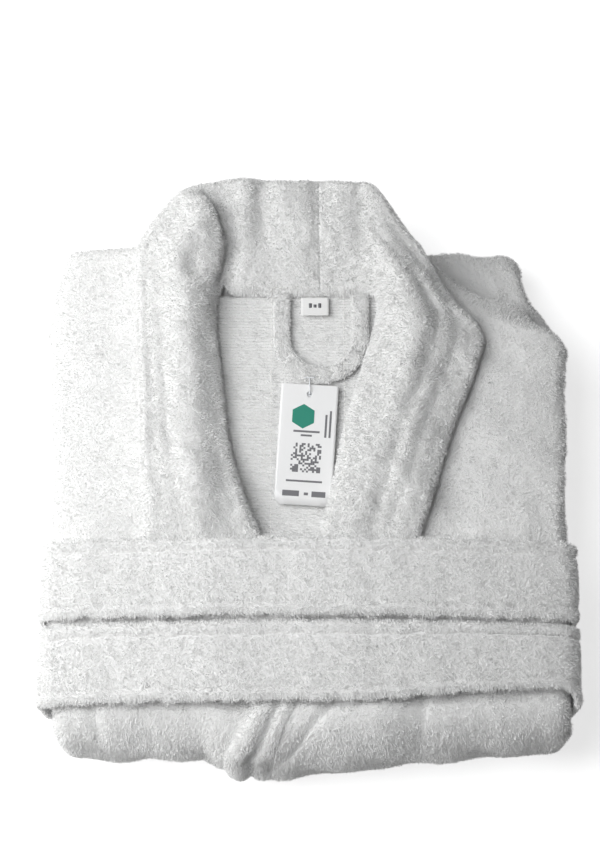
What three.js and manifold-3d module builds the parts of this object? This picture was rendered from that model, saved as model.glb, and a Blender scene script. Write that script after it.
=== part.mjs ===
// A white terry bathrobe with a shawl collar, folded into a flat bundle and tied round with its own belt.
// Millimetres. +Z is up, the collar points to +Y and the folded skirt to -Y. Left and right are the wearer's,
// so the wearer's left half lies at +X. The robe is cut as flat pieces, sewn together, then folded: both sides
// and the sleeves go onto the back, and the long skirt is rolled up in thirds (top, bottom and middle third).
import * as THREE from 'three';
import { mergeVertices } from 'three/addons/utils/BufferGeometryUtils.js';
import Module from 'manifold-3d';

const wasm = await Module();
wasm.setup();

// ---- Driving dimensions ----
const CLOTH = 4.7; // one layer of terry with the loops on both its faces
const GAP = 0.3; // between pieces that touch
const LAYER = CLOTH + GAP;
const HALF_WIDTH = 187; // of the folded bundle, out to its side folds
const SHOULDER_Y = 165; // where the top third ends, at the shoulder seams
const ROLL_TOP_Y = 172; // where the skirt turns up between the bottom and the middle third
const FRONT_END_Y = -218; // the rolled end of the bundle, at the skirt
const HEM_Y = -170; // the hem of the skirt, inside the roll
const BELT_CLOTH = 4.1; // the belt and the pockets lie under the robe, and it rests on them
const BELT_WIDTH = 52;
const COLLAR_CLOTH = 8; // the collar is double cloth
const COLLAR_TOP_Y = 219;
const NECK_SEAM_Y = 131;
const CENTRE_BACK_X = 9; // the collar's centre-back seam

// ---- Heights of the folded layers, worked out from the cloth ----
const LAYERS_IN_A_THIRD = 4; // front and back, each doubled by the folded sides
const THIRD = LAYERS_IN_A_THIRD * LAYER - GAP;
const BOTTOM_THIRD_Z = BELT_CLOTH + GAP;
const BOTTOM_THIRD_TOP = BOTTOM_THIRD_Z + THIRD;
const SLACK = 2; // a looser gap inside the tight turn
const MIDDLE_THIRD_TOP = BOTTOM_THIRD_TOP + SLACK + GAP + THIRD;
const SLEEVE_Z = MIDDLE_THIRD_TOP + GAP;
const SLEEVE_TOP = SLEEVE_Z + 2 * LAYER - GAP;
const TOP_THIRD_Z = SLEEVE_TOP + GAP;
const TOP_Z = TOP_THIRD_Z + THIRD;
const INSIDE_BACK_Z = TOP_Z - LAYER; // the inner face of the back, seen in the neck opening
const SIDE_RADIUS = THIRD / 2;
const SIDE_CENTRE_X = HALF_WIDTH - SIDE_RADIUS;
const SIDE_SEAM_X = 20; // the folded sides reach this far in

const TERRY = new THREE.MeshStandardMaterial({ color: 0xf1f0ec, roughness: 0.95, metalness: 0 });
const CARD = new THREE.MeshStandardMaterial({ color: 0xfafafa, roughness: 0.5, metalness: 0 });
const LABEL = new THREE.MeshStandardMaterial({ color: 0xf6f6f4, roughness: 0.7, metalness: 0 });
const CLEAR_PLASTIC = new THREE.MeshStandardMaterial({ color: 0xe6eaea, roughness: 0.2, metalness: 0 });

const robe = new THREE.Group();

function addPiece(name, geometry, material = TERRY) {
  const piece = new THREE.Mesh(geometry, material.clone());
  piece.name = name;
  robe.add(piece);
  return piece;
}

// ---- Solids ----
function signedVolume(points, index) {
  const corner = (i) => new THREE.Vector3().fromArray(points, 3 * i);
  let volume = 0;
  for (let i = 0; i < index.length; i += 3) {
    const [a, b, c] = [corner(index[i]), corner(index[i + 1]), corner(index[i + 2])];
    volume += a.dot(b.cross(c)) / 6;
  }
  return volume;
}

// A closed body through rings of equal length, with a flat cap at each end cut like the outline.
function loft(rings, outline) {
  const points = rings.flat(2);
  const count = outline.length;
  const index = [];
  for (let ring = 0; ring + 1 < rings.length; ring++) {
    for (let j = 0; j < count; j++) {
      const a = ring * count + j;
      const b = ring * count + ((j + 1) % count);
      index.push(a, b, b + count, a, b + count, a + count);
    }
  }
  const last = (rings.length - 1) * count;
  const flat = outline.map(([u, v]) => new THREE.Vector2(u, v));
  const clockwise = THREE.ShapeUtils.isClockWise(flat);
  for (const [a, b, c] of THREE.ShapeUtils.triangulateShape(flat, [])) {
    const [p, q] = clockwise ? [c, a] : [a, c];
    index.push(q, b, p, last + p, last + b, last + q);
  }
  if (signedVolume(points, index) < 0) index.reverse();
  const geometry = new THREE.BufferGeometry();
  geometry.setAttribute('position', new THREE.Float32BufferAttribute(points, 3));
  geometry.setIndex(index);
  return geometry;
}

function toSolid(geometry) {
  const bare = geometry.clone();
  bare.deleteAttribute('normal');
  bare.deleteAttribute('uv');
  const merged = mergeVertices(bare, 1e-4);
  const mesh = new wasm.Mesh({
    numProp: 3,
    vertProperties: new Float32Array(merged.attributes.position.array),
    triVerts: new Uint32Array(merged.index.array),
  });
  return new wasm.Manifold(mesh);
}

function toGeometry(solid) {
  const mesh = solid.getMesh();
  const geometry = new THREE.BufferGeometry();
  geometry.setAttribute('position', new THREE.BufferAttribute(mesh.vertProperties, 3));
  geometry.setIndex(new THREE.BufferAttribute(mesh.triVerts, 1));
  return geometry;
}

function cut(geometry, ...cutters) {
  return toGeometry(cutters.reduce((solid, cutter) => solid.subtract(toSolid(cutter)), toSolid(geometry)));
}

function join(...geometries) {
  return toGeometry(geometries.map(toSolid).reduce((all, solid) => all.add(solid)));
}

function slab(shape, low, high) {
  const options = { depth: high - low, bevelEnabled: false, curveSegments: 6 };
  return new THREE.ExtrudeGeometry(shape, options).translate(0, 0, low);
}

function outlineShape(corners) {
  return new THREE.Shape(corners.map(([x, y]) => new THREE.Vector2(x, y)));
}

// ---- The folded robe: every body piece follows the same rolled path ----
const HEM_ROLL_RADIUS = (TOP_Z - BOTTOM_THIRD_Z) / 2;
const TURN_RADIUS = (MIDDLE_THIRD_TOP - BOTTOM_THIRD_Z) / 2;

// Half a turn about a centre, as points with the direction into the cloth.
function halfTurn(centreY, radius, fromAngle, turn, steps) {
  return Array.from({ length: steps + 1 }, (_, i) => {
    const angle = fromAngle + (turn * i) / steps;
    const y = centreY + radius * Math.cos(angle);
    const z = BOTTOM_THIRD_Z + radius + radius * Math.sin(angle);
    return { y, z, inY: -Math.cos(angle), inZ: -Math.sin(angle) };
  });
}

// The outer face of the fronts: over the top, round the rolled end, under, round the turn and back in.
function rolledPath(fromY) {
  return [
    { y: fromY, z: TOP_Z, inY: 0, inZ: -1 },
    ...halfTurn(FRONT_END_Y + HEM_ROLL_RADIUS, HEM_ROLL_RADIUS, Math.PI / 2, Math.PI, 10),
    ...halfTurn(ROLL_TOP_Y - TURN_RADIUS, TURN_RADIUS, -Math.PI / 2, Math.PI, 6),
    { y: HEM_Y, z: MIDDLE_THIRD_TOP, inY: 0, inZ: -1 },
  ];
}

// A section is a list of [x, depth], depth going in from the outer face of the fronts.
function rolled(section, fromY = SHOULDER_Y) {
  const ring = ({ y, z, inY, inZ }) => section.map(([x, depth]) => [x, y + depth * inY, z + depth * inZ]);
  return loft(rolledPath(fromY).map(ring), section);
}

// The folded side of a layer: round the side fold, in to the side seam and back round inside.
function sideFold(side, radius) {
  const steps = 4;
  const arc = (arcRadius, turn) =>
    Array.from({ length: steps + 1 }, (_, i) => {
      const angle = turn * (-Math.PI / 2 + (Math.PI * i) / steps);
      const x = SIDE_CENTRE_X + arcRadius * Math.cos(angle);
      return [side * x, SIDE_RADIUS + arcRadius * Math.sin(angle)];
    });
  const seam = side * SIDE_SEAM_X;
  const outer = SIDE_RADIUS + radius;
  return [...arc(radius, 1), [seam, outer], [seam, outer - CLOTH], ...arc(radius - CLOTH, -1)];
}

// ---- Fronts, facings and back ----
// The left front laps over the right one. In the lap each front has half the height of one layer.
const LAP_CLOTH = (CLOTH - GAP) / 2;
const LAP_LEFT_X = -40; // the free edge of the left front, on top
const LAP_RIGHT_X = 60; // the free edge of the right front, underneath
const FACING_WIDTH = 45;
const NECK_POINT_Y = -75; // the bottom of the neck opening, under the belt
const NECK_RIGHT_X = -104; // where the neckline meets the shoulder seams, under the collar
const NECK_LEFT_X = 92;

function neckOpening() {
  const corners = [
    [NECK_RIGHT_X, SHOULDER_Y + LAYER],
    [NECK_RIGHT_X, NECK_SEAM_Y - GAP],
    [-80, 110],
    [-70, 40],
    [-60, -20],
    [-44, NECK_POINT_Y],
    [8, NECK_POINT_Y],
    [26, -20],
    [45, 60],
    [64, 110],
    [NECK_LEFT_X, NECK_SEAM_Y - GAP],
    [NECK_LEFT_X, SHOULDER_Y + LAYER],
  ];
  return slab(outlineShape(corners), INSIDE_BACK_Z + GAP / 2, TOP_Z + LAYER);
}

// The left shoulder slopes away, because the bundle was folded a little askew there.
function shoulderSlope() {
  const corners = [
    [NECK_LEFT_X - LAYER, SHOULDER_Y + LAYER],
    [NECK_LEFT_X - LAYER, NECK_SEAM_Y + 18],
    [165, NECK_SEAM_Y + 2],
    [HALF_WIDTH + LAYER, NECK_SEAM_Y - 30],
    [HALF_WIDTH + LAYER, SHOULDER_Y + LAYER],
  ];
  return slab(outlineShape(corners), TOP_THIRD_Z - GAP / 2, TOP_Z + LAYER);
}

function leftFront() {
  const edge = LAP_LEFT_X + FACING_WIDTH + GAP;
  const end = LAP_RIGHT_X + GAP;
  const lap = [[end, CLOTH], [end, LAP_CLOTH], [edge, LAP_CLOTH]];
  const section = [[edge, 0], ...sideFold(1, SIDE_RADIUS), ...lap];
  return cut(rolled(section), neckOpening(), shoulderSlope());
}

function rightFront() {
  const edge = LAP_RIGHT_X - FACING_WIDTH - GAP;
  const end = LAP_LEFT_X - GAP;
  const lap = [[edge, CLOTH], [edge, CLOTH - LAP_CLOTH], [end, CLOTH - LAP_CLOTH]];
  const section = [[end, 0], ...sideFold(-1, SIDE_RADIUS), ...lap];
  return cut(rolled(section), neckOpening());
}

// A double strip that finishes the free edge of a front, from the neck opening to the hem.
function facing(fromX, depth) {
  const toX = fromX + FACING_WIDTH;
  const section = [[fromX, depth], [toX, depth], [toX, depth + LAP_CLOTH], [fromX, depth + LAP_CLOTH]];
  return rolled(section, NECK_POINT_Y - GAP);
}

function back() {
  const radius = SIDE_RADIUS - LAYER;
  const section = [...sideFold(1, radius), ...sideFold(-1, radius).reverse()];
  const neck = [
    [NECK_RIGHT_X, SHOULDER_Y + LAYER],
    [NECK_RIGHT_X, NECK_SEAM_Y - GAP],
    [NECK_LEFT_X, NECK_SEAM_Y - GAP],
    [NECK_LEFT_X, SHOULDER_Y + LAYER],
  ];
  const neckline = slab(outlineShape(neck), INSIDE_BACK_Z - LAYER, TOP_Z + LAYER);
  return cut(rolled(section), neckline, shoulderSlope());
}

addPiece('back_panel', back());
addPiece('left_front_panel', leftFront());
addPiece('right_front_panel', rightFront());
addPiece('left_front_facing', facing(LAP_LEFT_X, 0));
addPiece('right_front_facing', facing(LAP_RIGHT_X - FACING_WIDTH, CLOTH - LAP_CLOTH));

// ---- Sleeves and cuffs, laid flat between the top and the middle third ----
const SLEEVE_TOP_Y = 150;
const CUFF_Y = -92; // the seam between sleeve and cuff
const CUFF_END_Y = -172;
const SLEEVE_INNER_X = 4;
const ARMHOLE_OUTER_X = 180;
const CUFF_OUTER_X = 176;

for (const [name, side] of [['left', 1], ['right', -1]]) {
  const sleeve = [
    [side * SLEEVE_INNER_X, SLEEVE_TOP_Y],
    [side * ARMHOLE_OUTER_X, SLEEVE_TOP_Y],
    [side * CUFF_OUTER_X, CUFF_Y + GAP],
    [side * SLEEVE_INNER_X, CUFF_Y + GAP],
  ];
  const cuff = [
    [side * SLEEVE_INNER_X, CUFF_Y],
    [side * CUFF_OUTER_X, CUFF_Y],
    [side * CUFF_OUTER_X, CUFF_END_Y],
    [side * SLEEVE_INNER_X, CUFF_END_Y],
  ];
  addPiece(`${name}_sleeve`, slab(outlineShape(sleeve), SLEEVE_Z, SLEEVE_TOP));
  addPiece(`${name}_cuff`, slab(outlineShape(cuff), SLEEVE_Z, SLEEVE_TOP));
}

// ---- Shawl collar: two halves that meet at the centre-back seam ----
const LAPEL_Z = TOP_Z + GAP;
const LAPEL_ROLL = 17; // height of the rolled lapel above the front
const LAPEL_UNDER_BELT = 4.2; // and where the belt presses it flat
const COLLAR_BACK_Z = INSIDE_BACK_Z - 5;

// Each station gives the neck edge, the outer edge, the height of the underside and the thickness.
function collarHalf(stations) {
  const steps = 8; // points over the rounded top
  const rings = stations.map(({ inner, outer, under, thick }) => {
    const top = Array.from({ length: steps + 1 }, (_, i) => {
      const along = i / steps;
      const lift = Math.sin(Math.PI * (0.08 + 0.84 * along)) ** 0.45;
      const x = inner[0] + (outer[0] - inner[0]) * along;
      const y = inner[1] + (outer[1] - inner[1]) * along;
      return [x, y, under + thick * lift];
    });
    return [...top, [outer[0], outer[1], under], [inner[0], inner[1], under]];
  });
  const outline = [...Array.from({ length: steps + 1 }, (_, i) => [i, 10 + Math.sin((Math.PI * i) / steps)])];
  return loft(rings, [...outline, [steps, 0], [0, 0]]);
}

const BACK_OF_COLLAR = { under: COLLAR_BACK_Z, thick: COLLAR_CLOTH };
const LAPEL = { under: LAPEL_Z, thick: LAPEL_ROLL };
const PRESSED = { under: LAPEL_Z, thick: LAPEL_UNDER_BELT };
const COLLAR_END_Y = -106;

function leftCollar() {
  const seamX = CENTRE_BACK_X + GAP / 2;
  return collarHalf([
    { inner: [seamX, NECK_SEAM_Y], outer: [seamX, COLLAR_TOP_Y], ...BACK_OF_COLLAR },
    { inner: [34, NECK_SEAM_Y], outer: [40, COLLAR_TOP_Y], ...BACK_OF_COLLAR },
    { inner: [50, NECK_SEAM_Y], outer: [64, COLLAR_TOP_Y - 8], ...BACK_OF_COLLAR },
    { inner: [56, NECK_SEAM_Y], outer: [93, 176], under: LAPEL_Z, thick: 10 },
    { inner: [53, 118], outer: [118, 140], under: LAPEL_Z, thick: 14 },
    { inner: [46, 98], outer: [126, 105], ...LAPEL },
    { inner: [34, 60], outer: [118, 65], ...LAPEL },
    { inner: [25, 25], outer: [104, 27], ...LAPEL },
    { inner: [18, -22], outer: [89, -22], ...LAPEL },
    { inner: [10, -52], outer: [80, -54], ...PRESSED },
    { inner: [0, COLLAR_END_Y], outer: [70, COLLAR_END_Y], ...PRESSED },
  ]);
}

function rightCollar() {
  const seamX = CENTRE_BACK_X - GAP / 2;
  return collarHalf([
    { inner: [seamX, NECK_SEAM_Y], outer: [seamX, COLLAR_TOP_Y], ...BACK_OF_COLLAR },
    { inner: [-30, NECK_SEAM_Y], outer: [-40, COLLAR_TOP_Y], ...BACK_OF_COLLAR },
    { inner: [-62, NECK_SEAM_Y], outer: [-82, COLLAR_TOP_Y - 3], ...BACK_OF_COLLAR },
    { inner: [-72, NECK_SEAM_Y], outer: [-108, 196], under: LAPEL_Z, thick: 12 },
    { inner: [-73, 122], outer: [-127, 164], under: LAPEL_Z, thick: 15 },
    { inner: [-70, 108], outer: [-124, 125], ...LAPEL },
    { inner: [-64, 80], outer: [-121, 84], ...LAPEL },
    { inner: [-57, 31], outer: [-121, 33], ...LAPEL },
    { inner: [-50, -18], outer: [-119, -18], ...LAPEL },
    { inner: [-40, -50], outer: [-114, -52], ...PRESSED },
    { inner: [-28, COLLAR_END_Y], outer: [-102, COLLAR_END_Y], ...PRESSED },
  ]);
}

addPiece('left_collar', leftCollar());
addPiece('right_collar', rightCollar());

// ---- Pockets: patches on the fronts, facing down under the bottom third ----
const POCKET_MOUTH_Y = -52;
const POCKET_END_Y = 113;
const POCKET_INNER_X = 25;
const POCKET_OUTER_X = 181;
const POCKET_CORNER = 22;

function pocket(side) {
  const [inner, outer] = [side * POCKET_INNER_X, side * POCKET_OUTER_X];
  const corner = side * POCKET_CORNER;
  const shape = new THREE.Shape();
  shape.moveTo(inner, POCKET_MOUTH_Y);
  shape.lineTo(outer, POCKET_MOUTH_Y);
  shape.lineTo(outer, POCKET_END_Y - POCKET_CORNER);
  shape.quadraticCurveTo(outer, POCKET_END_Y, outer - corner, POCKET_END_Y);
  shape.lineTo(inner + corner, POCKET_END_Y);
  shape.quadraticCurveTo(inner, POCKET_END_Y, inner, POCKET_END_Y - POCKET_CORNER);
  return slab(shape, 0, BELT_CLOTH);
}

addPiece('left_pocket', pocket(1));
addPiece('right_pocket', pocket(-1));

// ---- Belt: one strip, wound twice round the bundle, its ends tucked in underneath ----
const BELT_INNER_X = HALF_WIDTH + 0.6;
const BELT_CORNER = 8; // inside radius where it turns up the sides
const BELT_UPPER_Y = -85;
const BELT_LOWER_Y = -145;
const BELT_SIDE_TOP = TOP_Z + 1;
const BELT_ARCH = 6.4; // how much higher it lies over the lapels than at the sides
const BELT_TAIL_X = 150;

// One turn over the top from side to side, as points with the direction out of the cloth.
function beltTurn(fromSide) {
  const corner = (centreZ, fromAngle) =>
    Array.from({ length: 5 }, (_, i) => {
      const angle = fromAngle - (Math.PI / 2) * (i / 4);
      const [outX, outZ] = [Math.cos(angle), Math.sin(angle)];
      const x = (BELT_INNER_X - BELT_CORNER) * Math.sign(Math.cos(fromAngle - Math.PI / 4));
      return { x: x + BELT_CORNER * outX, z: centreZ + BELT_CORNER * outZ, outX, outZ };
    });
  const low = BELT_CLOTH + BELT_CORNER;
  const high = BELT_SIDE_TOP - BELT_CORNER;
  const span = BELT_INNER_X - BELT_CORNER;
  const over = [-0.75, -0.5, -0.25, 0, 0.25, 0.5, 0.75].map((part) => {
    const slope = (-2 * BELT_ARCH * part) / span;
    const length = Math.hypot(slope, 1);
    const z = BELT_SIDE_TOP + BELT_ARCH * (1 - part * part);
    return { x: span * part, z, outX: -slope / length, outZ: 1 / length };
  });
  const turn = [
    ...corner(low, -Math.PI / 2),
    ...corner(high, Math.PI),
    ...over,
    ...corner(high, Math.PI / 2),
    ...corner(low, 0),
  ];
  return turn.map((point) => ({ ...point, y: fromSide }));
}

function beltStrip() {
  const flat = { z: BELT_CLOTH, outX: 0, outZ: -1 };
  const path = [
    { x: -BELT_TAIL_X, y: BELT_UPPER_Y, ...flat },
    ...beltTurn(BELT_UPPER_Y),
    ...beltTurn(BELT_LOWER_Y),
    { x: BELT_TAIL_X, y: BELT_LOWER_Y, ...flat },
  ];
  const section = [[0, -1], [0, 1], [BELT_CLOTH, 1], [BELT_CLOTH, -1]];
  const ring = ({ x, y, z, outX, outZ }) =>
    section.map(([out, edge]) => [x + out * outX, y + (edge * BELT_WIDTH) / 2, z + out * outZ]);
  return loft(path.map(ring), section);
}

addPiece('belt', beltStrip());

// ---- Belt loops and care label, sewn into the side seams and folded away inside ----
const BELT_LOOP_LENGTH = 60;
const BELT_LOOP_WIDTH = 8;
const BELT_LOOP_CLOTH = 2.2;
const BELT_LOOP_Y = -150;
const BELT_LOOP_RISE = 3;

function beltLoop(side) {
  const low = TOP_THIRD_Z + 1.5;
  const end = BELT_LOOP_Y + BELT_LOOP_LENGTH;
  const middle = BELT_LOOP_Y + BELT_LOOP_LENGTH / 2;
  const shape = new THREE.Shape();
  shape.moveTo(BELT_LOOP_Y, low);
  shape.quadraticCurveTo(middle, low + 2 * BELT_LOOP_RISE, end, low);
  shape.lineTo(end, low + BELT_LOOP_CLOTH);
  shape.quadraticCurveTo(middle, low + 2 * BELT_LOOP_RISE + BELT_LOOP_CLOTH, BELT_LOOP_Y, low + BELT_LOOP_CLOTH);
  const strip = new THREE.ExtrudeGeometry(shape, { depth: BELT_LOOP_WIDTH, bevelEnabled: false, curveSegments: 6 });
  strip.rotateX(Math.PI / 2).rotateZ(Math.PI / 2);
  const fromX = side > 0 ? SIDE_SEAM_X - 4 - BELT_LOOP_WIDTH : -SIDE_SEAM_X + 4;
  return strip.translate(fromX, 0, 0);
}

addPiece('left_belt_loop', beltLoop(1));
addPiece('right_belt_loop', beltLoop(-1));

const CARE_LABEL = { width: 30, length: 60, thick: 0.8 };
const careLabel = new THREE.BoxGeometry(CARE_LABEL.width, CARE_LABEL.length, CARE_LABEL.thick);
addPiece('care_label', careLabel, LABEL).position.set(0, 0, BOTTOM_THIRD_TOP - LAYER);

// ---- Hanging loop, size label, hang tag and its fastener, in the neck opening ----
const NECK_EDGE_Y = NECK_SEAM_Y - 1.5; // the turning line of the loop, sewn in at the neck seam
const LOOP_X = 9;
const LOOP_RADIUS = 29; // to the middle of the band
const LOOP_BAND = 10;
const LOOP_CLOTH = 2.5;
const LOOP_CENTRE_Y = 96;
const LOOP_Z = INSIDE_BACK_Z + GAP;

function hangingLoop() {
  const outer = LOOP_RADIUS + LOOP_BAND / 2;
  const inner = LOOP_RADIUS - LOOP_BAND / 2;
  const shape = new THREE.Shape();
  shape.moveTo(LOOP_X - outer, NECK_EDGE_Y);
  shape.absarc(LOOP_X, LOOP_CENTRE_Y, outer, Math.PI, 2 * Math.PI, false);
  shape.lineTo(LOOP_X + outer, NECK_EDGE_Y);
  shape.lineTo(LOOP_X + inner, NECK_EDGE_Y);
  shape.absarc(LOOP_X, LOOP_CENTRE_Y, inner, 2 * Math.PI, Math.PI, true);
  shape.lineTo(LOOP_X - inner, NECK_EDGE_Y);
  return new THREE.ExtrudeGeometry(shape, { depth: LOOP_CLOTH, bevelEnabled: false, curveSegments: 14 });
}

addPiece('hanging_loop', hangingLoop()).position.z = LOOP_Z;

const SIZE_LABEL = { width: 20, length: 14, thick: 0.8, x: 5, topY: NECK_EDGE_Y - 1 };
const sizeLabel = new THREE.BoxGeometry(SIZE_LABEL.width, SIZE_LABEL.length, SIZE_LABEL.thick);
const sizeLabelY = SIZE_LABEL.topY - SIZE_LABEL.length / 2;
const sizeLabelZ = INSIDE_BACK_Z + GAP + SIZE_LABEL.thick / 2;
addPiece('size_label', sizeLabel, LABEL).position.set(SIZE_LABEL.x, sizeLabelY, sizeLabelZ);

const TAG = { width: 43, length: 90, thick: 0.8, hole: 1.8, holeFromTop: 7, corner: 1.5 };
const TAG_HOLE = { x: 1, y: 54.5 };
const TAG_Z = INSIDE_BACK_Z + 1.8;
const TAG_TURN = THREE.MathUtils.degToRad(-3.7);

function hangTag() {
  const [half, top, bottom] = [TAG.width / 2, TAG.holeFromTop, TAG.holeFromTop - TAG.length];
  const shape = new THREE.Shape();
  shape.moveTo(-half, bottom + TAG.corner);
  shape.quadraticCurveTo(-half, bottom, -half + TAG.corner, bottom);
  shape.lineTo(half - TAG.corner, bottom);
  shape.quadraticCurveTo(half, bottom, half, bottom + TAG.corner);
  shape.lineTo(half, top - TAG.corner);
  shape.quadraticCurveTo(half, top, half - TAG.corner, top);
  shape.lineTo(-half + TAG.corner, top);
  shape.quadraticCurveTo(-half, top, -half, top - TAG.corner);
  const hole = new THREE.Path();
  hole.absarc(0, 0, TAG.hole, 0, 2 * Math.PI, true);
  shape.holes.push(hole);
  return new THREE.ExtrudeGeometry(shape, { depth: TAG.thick, bevelEnabled: false, curveSegments: 6 });
}

const tag = addPiece('hang_tag', hangTag(), CARD);
tag.position.set(TAG_HOLE.x, TAG_HOLE.y, TAG_Z);
tag.rotation.z = TAG_TURN;

// The fastener lies over the loop's band, and its stem goes down through the tag's hole to a round foot.
const STEM = 0.5; // radius
const CROSSBAR = { radius: 0.6, length: 8, y: 66.5 };
const FOOT = { radius: 2.6, thick: 0.9 };
const FASTENER_Z = LOOP_Z + LOOP_CLOTH + GAP + CROSSBAR.radius;

function tagFastener() {
  const footZ = INSIDE_BACK_Z + 0.4 + FOOT.thick / 2;
  const reach = CROSSBAR.y - TAG_HOLE.y;
  const crossbar = new THREE.CylinderGeometry(CROSSBAR.radius, CROSSBAR.radius, CROSSBAR.length, 10);
  crossbar.rotateZ(Math.PI / 2).translate(TAG_HOLE.x, CROSSBAR.y, FASTENER_Z);
  const arm = new THREE.CylinderGeometry(STEM, STEM, reach + STEM, 10);
  arm.translate(TAG_HOLE.x, TAG_HOLE.y - STEM + (reach + STEM) / 2, FASTENER_Z);
  const stem = new THREE.CylinderGeometry(STEM, STEM, FASTENER_Z - footZ, 10);
  stem.rotateX(Math.PI / 2).translate(TAG_HOLE.x, TAG_HOLE.y, (FASTENER_Z + footZ) / 2);
  const foot = new THREE.CylinderGeometry(FOOT.radius, FOOT.radius, FOOT.thick, 16);
  foot.rotateX(Math.PI / 2).translate(TAG_HOLE.x, TAG_HOLE.y, footZ);
  return join(crossbar, arm, stem, foot);
}

addPiece('tag_fastener', tagFastener(), CLEAR_PLASTIC);

export default robe;
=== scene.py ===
# %% [markdown]
# # A folded terry bathrobe
# A hotel bathrobe of white cotton terry is folded face up into a flat bundle, and its own belt is wound twice
# round it. The frame that is loaded first holds plain solids of every piece in its right place. This lesson
# replaces them with real cloth: thin folded sheets, rolled lapels and a pile of cotton loops.

# %% Load the frame
import math
import bpy
import numpy as np
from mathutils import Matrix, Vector
from mathutils.bvhtree import BVHTree


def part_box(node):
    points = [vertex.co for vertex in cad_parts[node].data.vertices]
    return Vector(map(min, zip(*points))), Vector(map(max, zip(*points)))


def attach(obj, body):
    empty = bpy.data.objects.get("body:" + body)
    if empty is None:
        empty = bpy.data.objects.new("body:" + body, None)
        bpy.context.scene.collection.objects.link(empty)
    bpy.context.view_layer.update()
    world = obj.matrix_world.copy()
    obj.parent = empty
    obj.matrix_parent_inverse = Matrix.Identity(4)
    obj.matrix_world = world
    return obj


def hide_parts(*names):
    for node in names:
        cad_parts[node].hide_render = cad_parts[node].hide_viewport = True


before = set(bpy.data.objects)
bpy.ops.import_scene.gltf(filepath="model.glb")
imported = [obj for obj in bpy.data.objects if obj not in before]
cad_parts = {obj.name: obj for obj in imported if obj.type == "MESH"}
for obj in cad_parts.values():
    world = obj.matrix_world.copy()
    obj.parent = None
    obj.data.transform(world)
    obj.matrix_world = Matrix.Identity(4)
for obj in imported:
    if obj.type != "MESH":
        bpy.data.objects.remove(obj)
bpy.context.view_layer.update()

MM = 0.001

# %% [markdown]
# ## Sizes
# All sizes are in millimetres and start from the frame's boxes. The bundle is a stack of folded layers of
# one pitch. The fronts are the outermost layer, so their box gives the bundle's height, and the belt's box
# gives the two lanes that cross it.

# %% Measure the frame
def box_mm(node):
    low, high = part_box(node)
    return np.array(low) / MM, np.array(high) / MM


front_low, front_high = box_mm("left_front_panel")
belt_low, belt_high = box_mm("belt")
loop_low, loop_high = box_mm("hanging_loop")

TOP = front_high[2]
BASE = front_low[2]
HALF_WIDTH = front_high[0]
FRONT_END = front_low[1]
ROLL_TOP = front_high[1]
SHOULDER = ROLL_TOP - 7.0  # the folded end reaches a little past the shoulder seam
HEM = -170.0
SOLID_CLOTH = 4.7  # one layer of the frame's solids
AIR = 0.3  # the gap between two layers
LAYER = SOLID_CLOTH + AIR
THIRD = 4 * LAYER - AIR  # each third of the skirt is four layers thick
MIDDLE_LIFT = 2.3  # the middle third lies loosely on the lowest one
MIDDLE_TOP = BASE + 2 * THIRD + MIDDLE_LIFT
CENTRE_BACK = 9.0
print("height", round(TOP - BASE, 1), "half width", round(HALF_WIDTH, 1), "roll top", round(ROLL_TOP, 1))

# %% [markdown]
# ## Camera, floor and light
# The bundle is seen from almost straight above, so that the neck opening and the belt show their true shape.
# A long lens keeps the edges parallel. Two large soft lights stand on the left, a low one that rakes across
# the lapels and a higher one that fills their shade. The floor looks white but lights the robe only a little.

# %% Camera, floor and light
ELEVATION = math.radians(75)
LENS = 85.0
SENSOR = 36.0
VIEW_LENGTH = 0.634  # metres of floor that the long side of the frame covers
LOOK_AT = Vector((-0.006, 0.035, 0.045))

camera = bpy.data.objects.new("camera", bpy.data.cameras.new("camera"))
camera.data.lens = LENS
camera.data.sensor_width = SENSOR
towards_camera = Vector((0.0, -math.cos(ELEVATION), math.sin(ELEVATION)))
camera.location = LOOK_AT + towards_camera * (VIEW_LENGTH * LENS / SENSOR)
camera.rotation_mode = "QUATERNION"
camera.rotation_quaternion = (-towards_camera).to_track_quat("-Z", "Y")
bpy.context.scene.collection.objects.link(camera)
bpy.context.scene.camera = camera


LIGHTS_AIM = Vector((0.0, 0.0, 0.04))


def area_light(name, place, size, power, colour):
    light = bpy.data.lights.new(name, "AREA")
    light.size = size
    light.energy = power
    light.color = colour
    lamp = bpy.data.objects.new(name, light)
    lamp.location = place
    lamp.rotation_mode = "QUATERNION"
    lamp.rotation_quaternion = (LIGHTS_AIM - Vector(place)).to_track_quat("-Z", "Y")
    bpy.context.scene.collection.objects.link(lamp)


area_light("key", place=(-0.79, -0.03, 0.63), size=0.7, power=5.3, colour=(1.0, 0.995, 0.985))
area_light("overhead", place=(-0.42, 0.07, 0.85), size=0.8, power=7.0, colour=(0.98, 0.99, 1.0))

FLOOR_SIZE = 8.0  # metres
FLOOR_DROP = 5.0  # below the fronts, so that the belt's underside rests on the floor
FLOOR_GLOW = 0.66  # the paper looks lit from behind, so it stays white
FLOOR_SPILL = 0.25  # the share of that glow that also lights the robe
STUDIO_GLOW = 0.09


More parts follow.
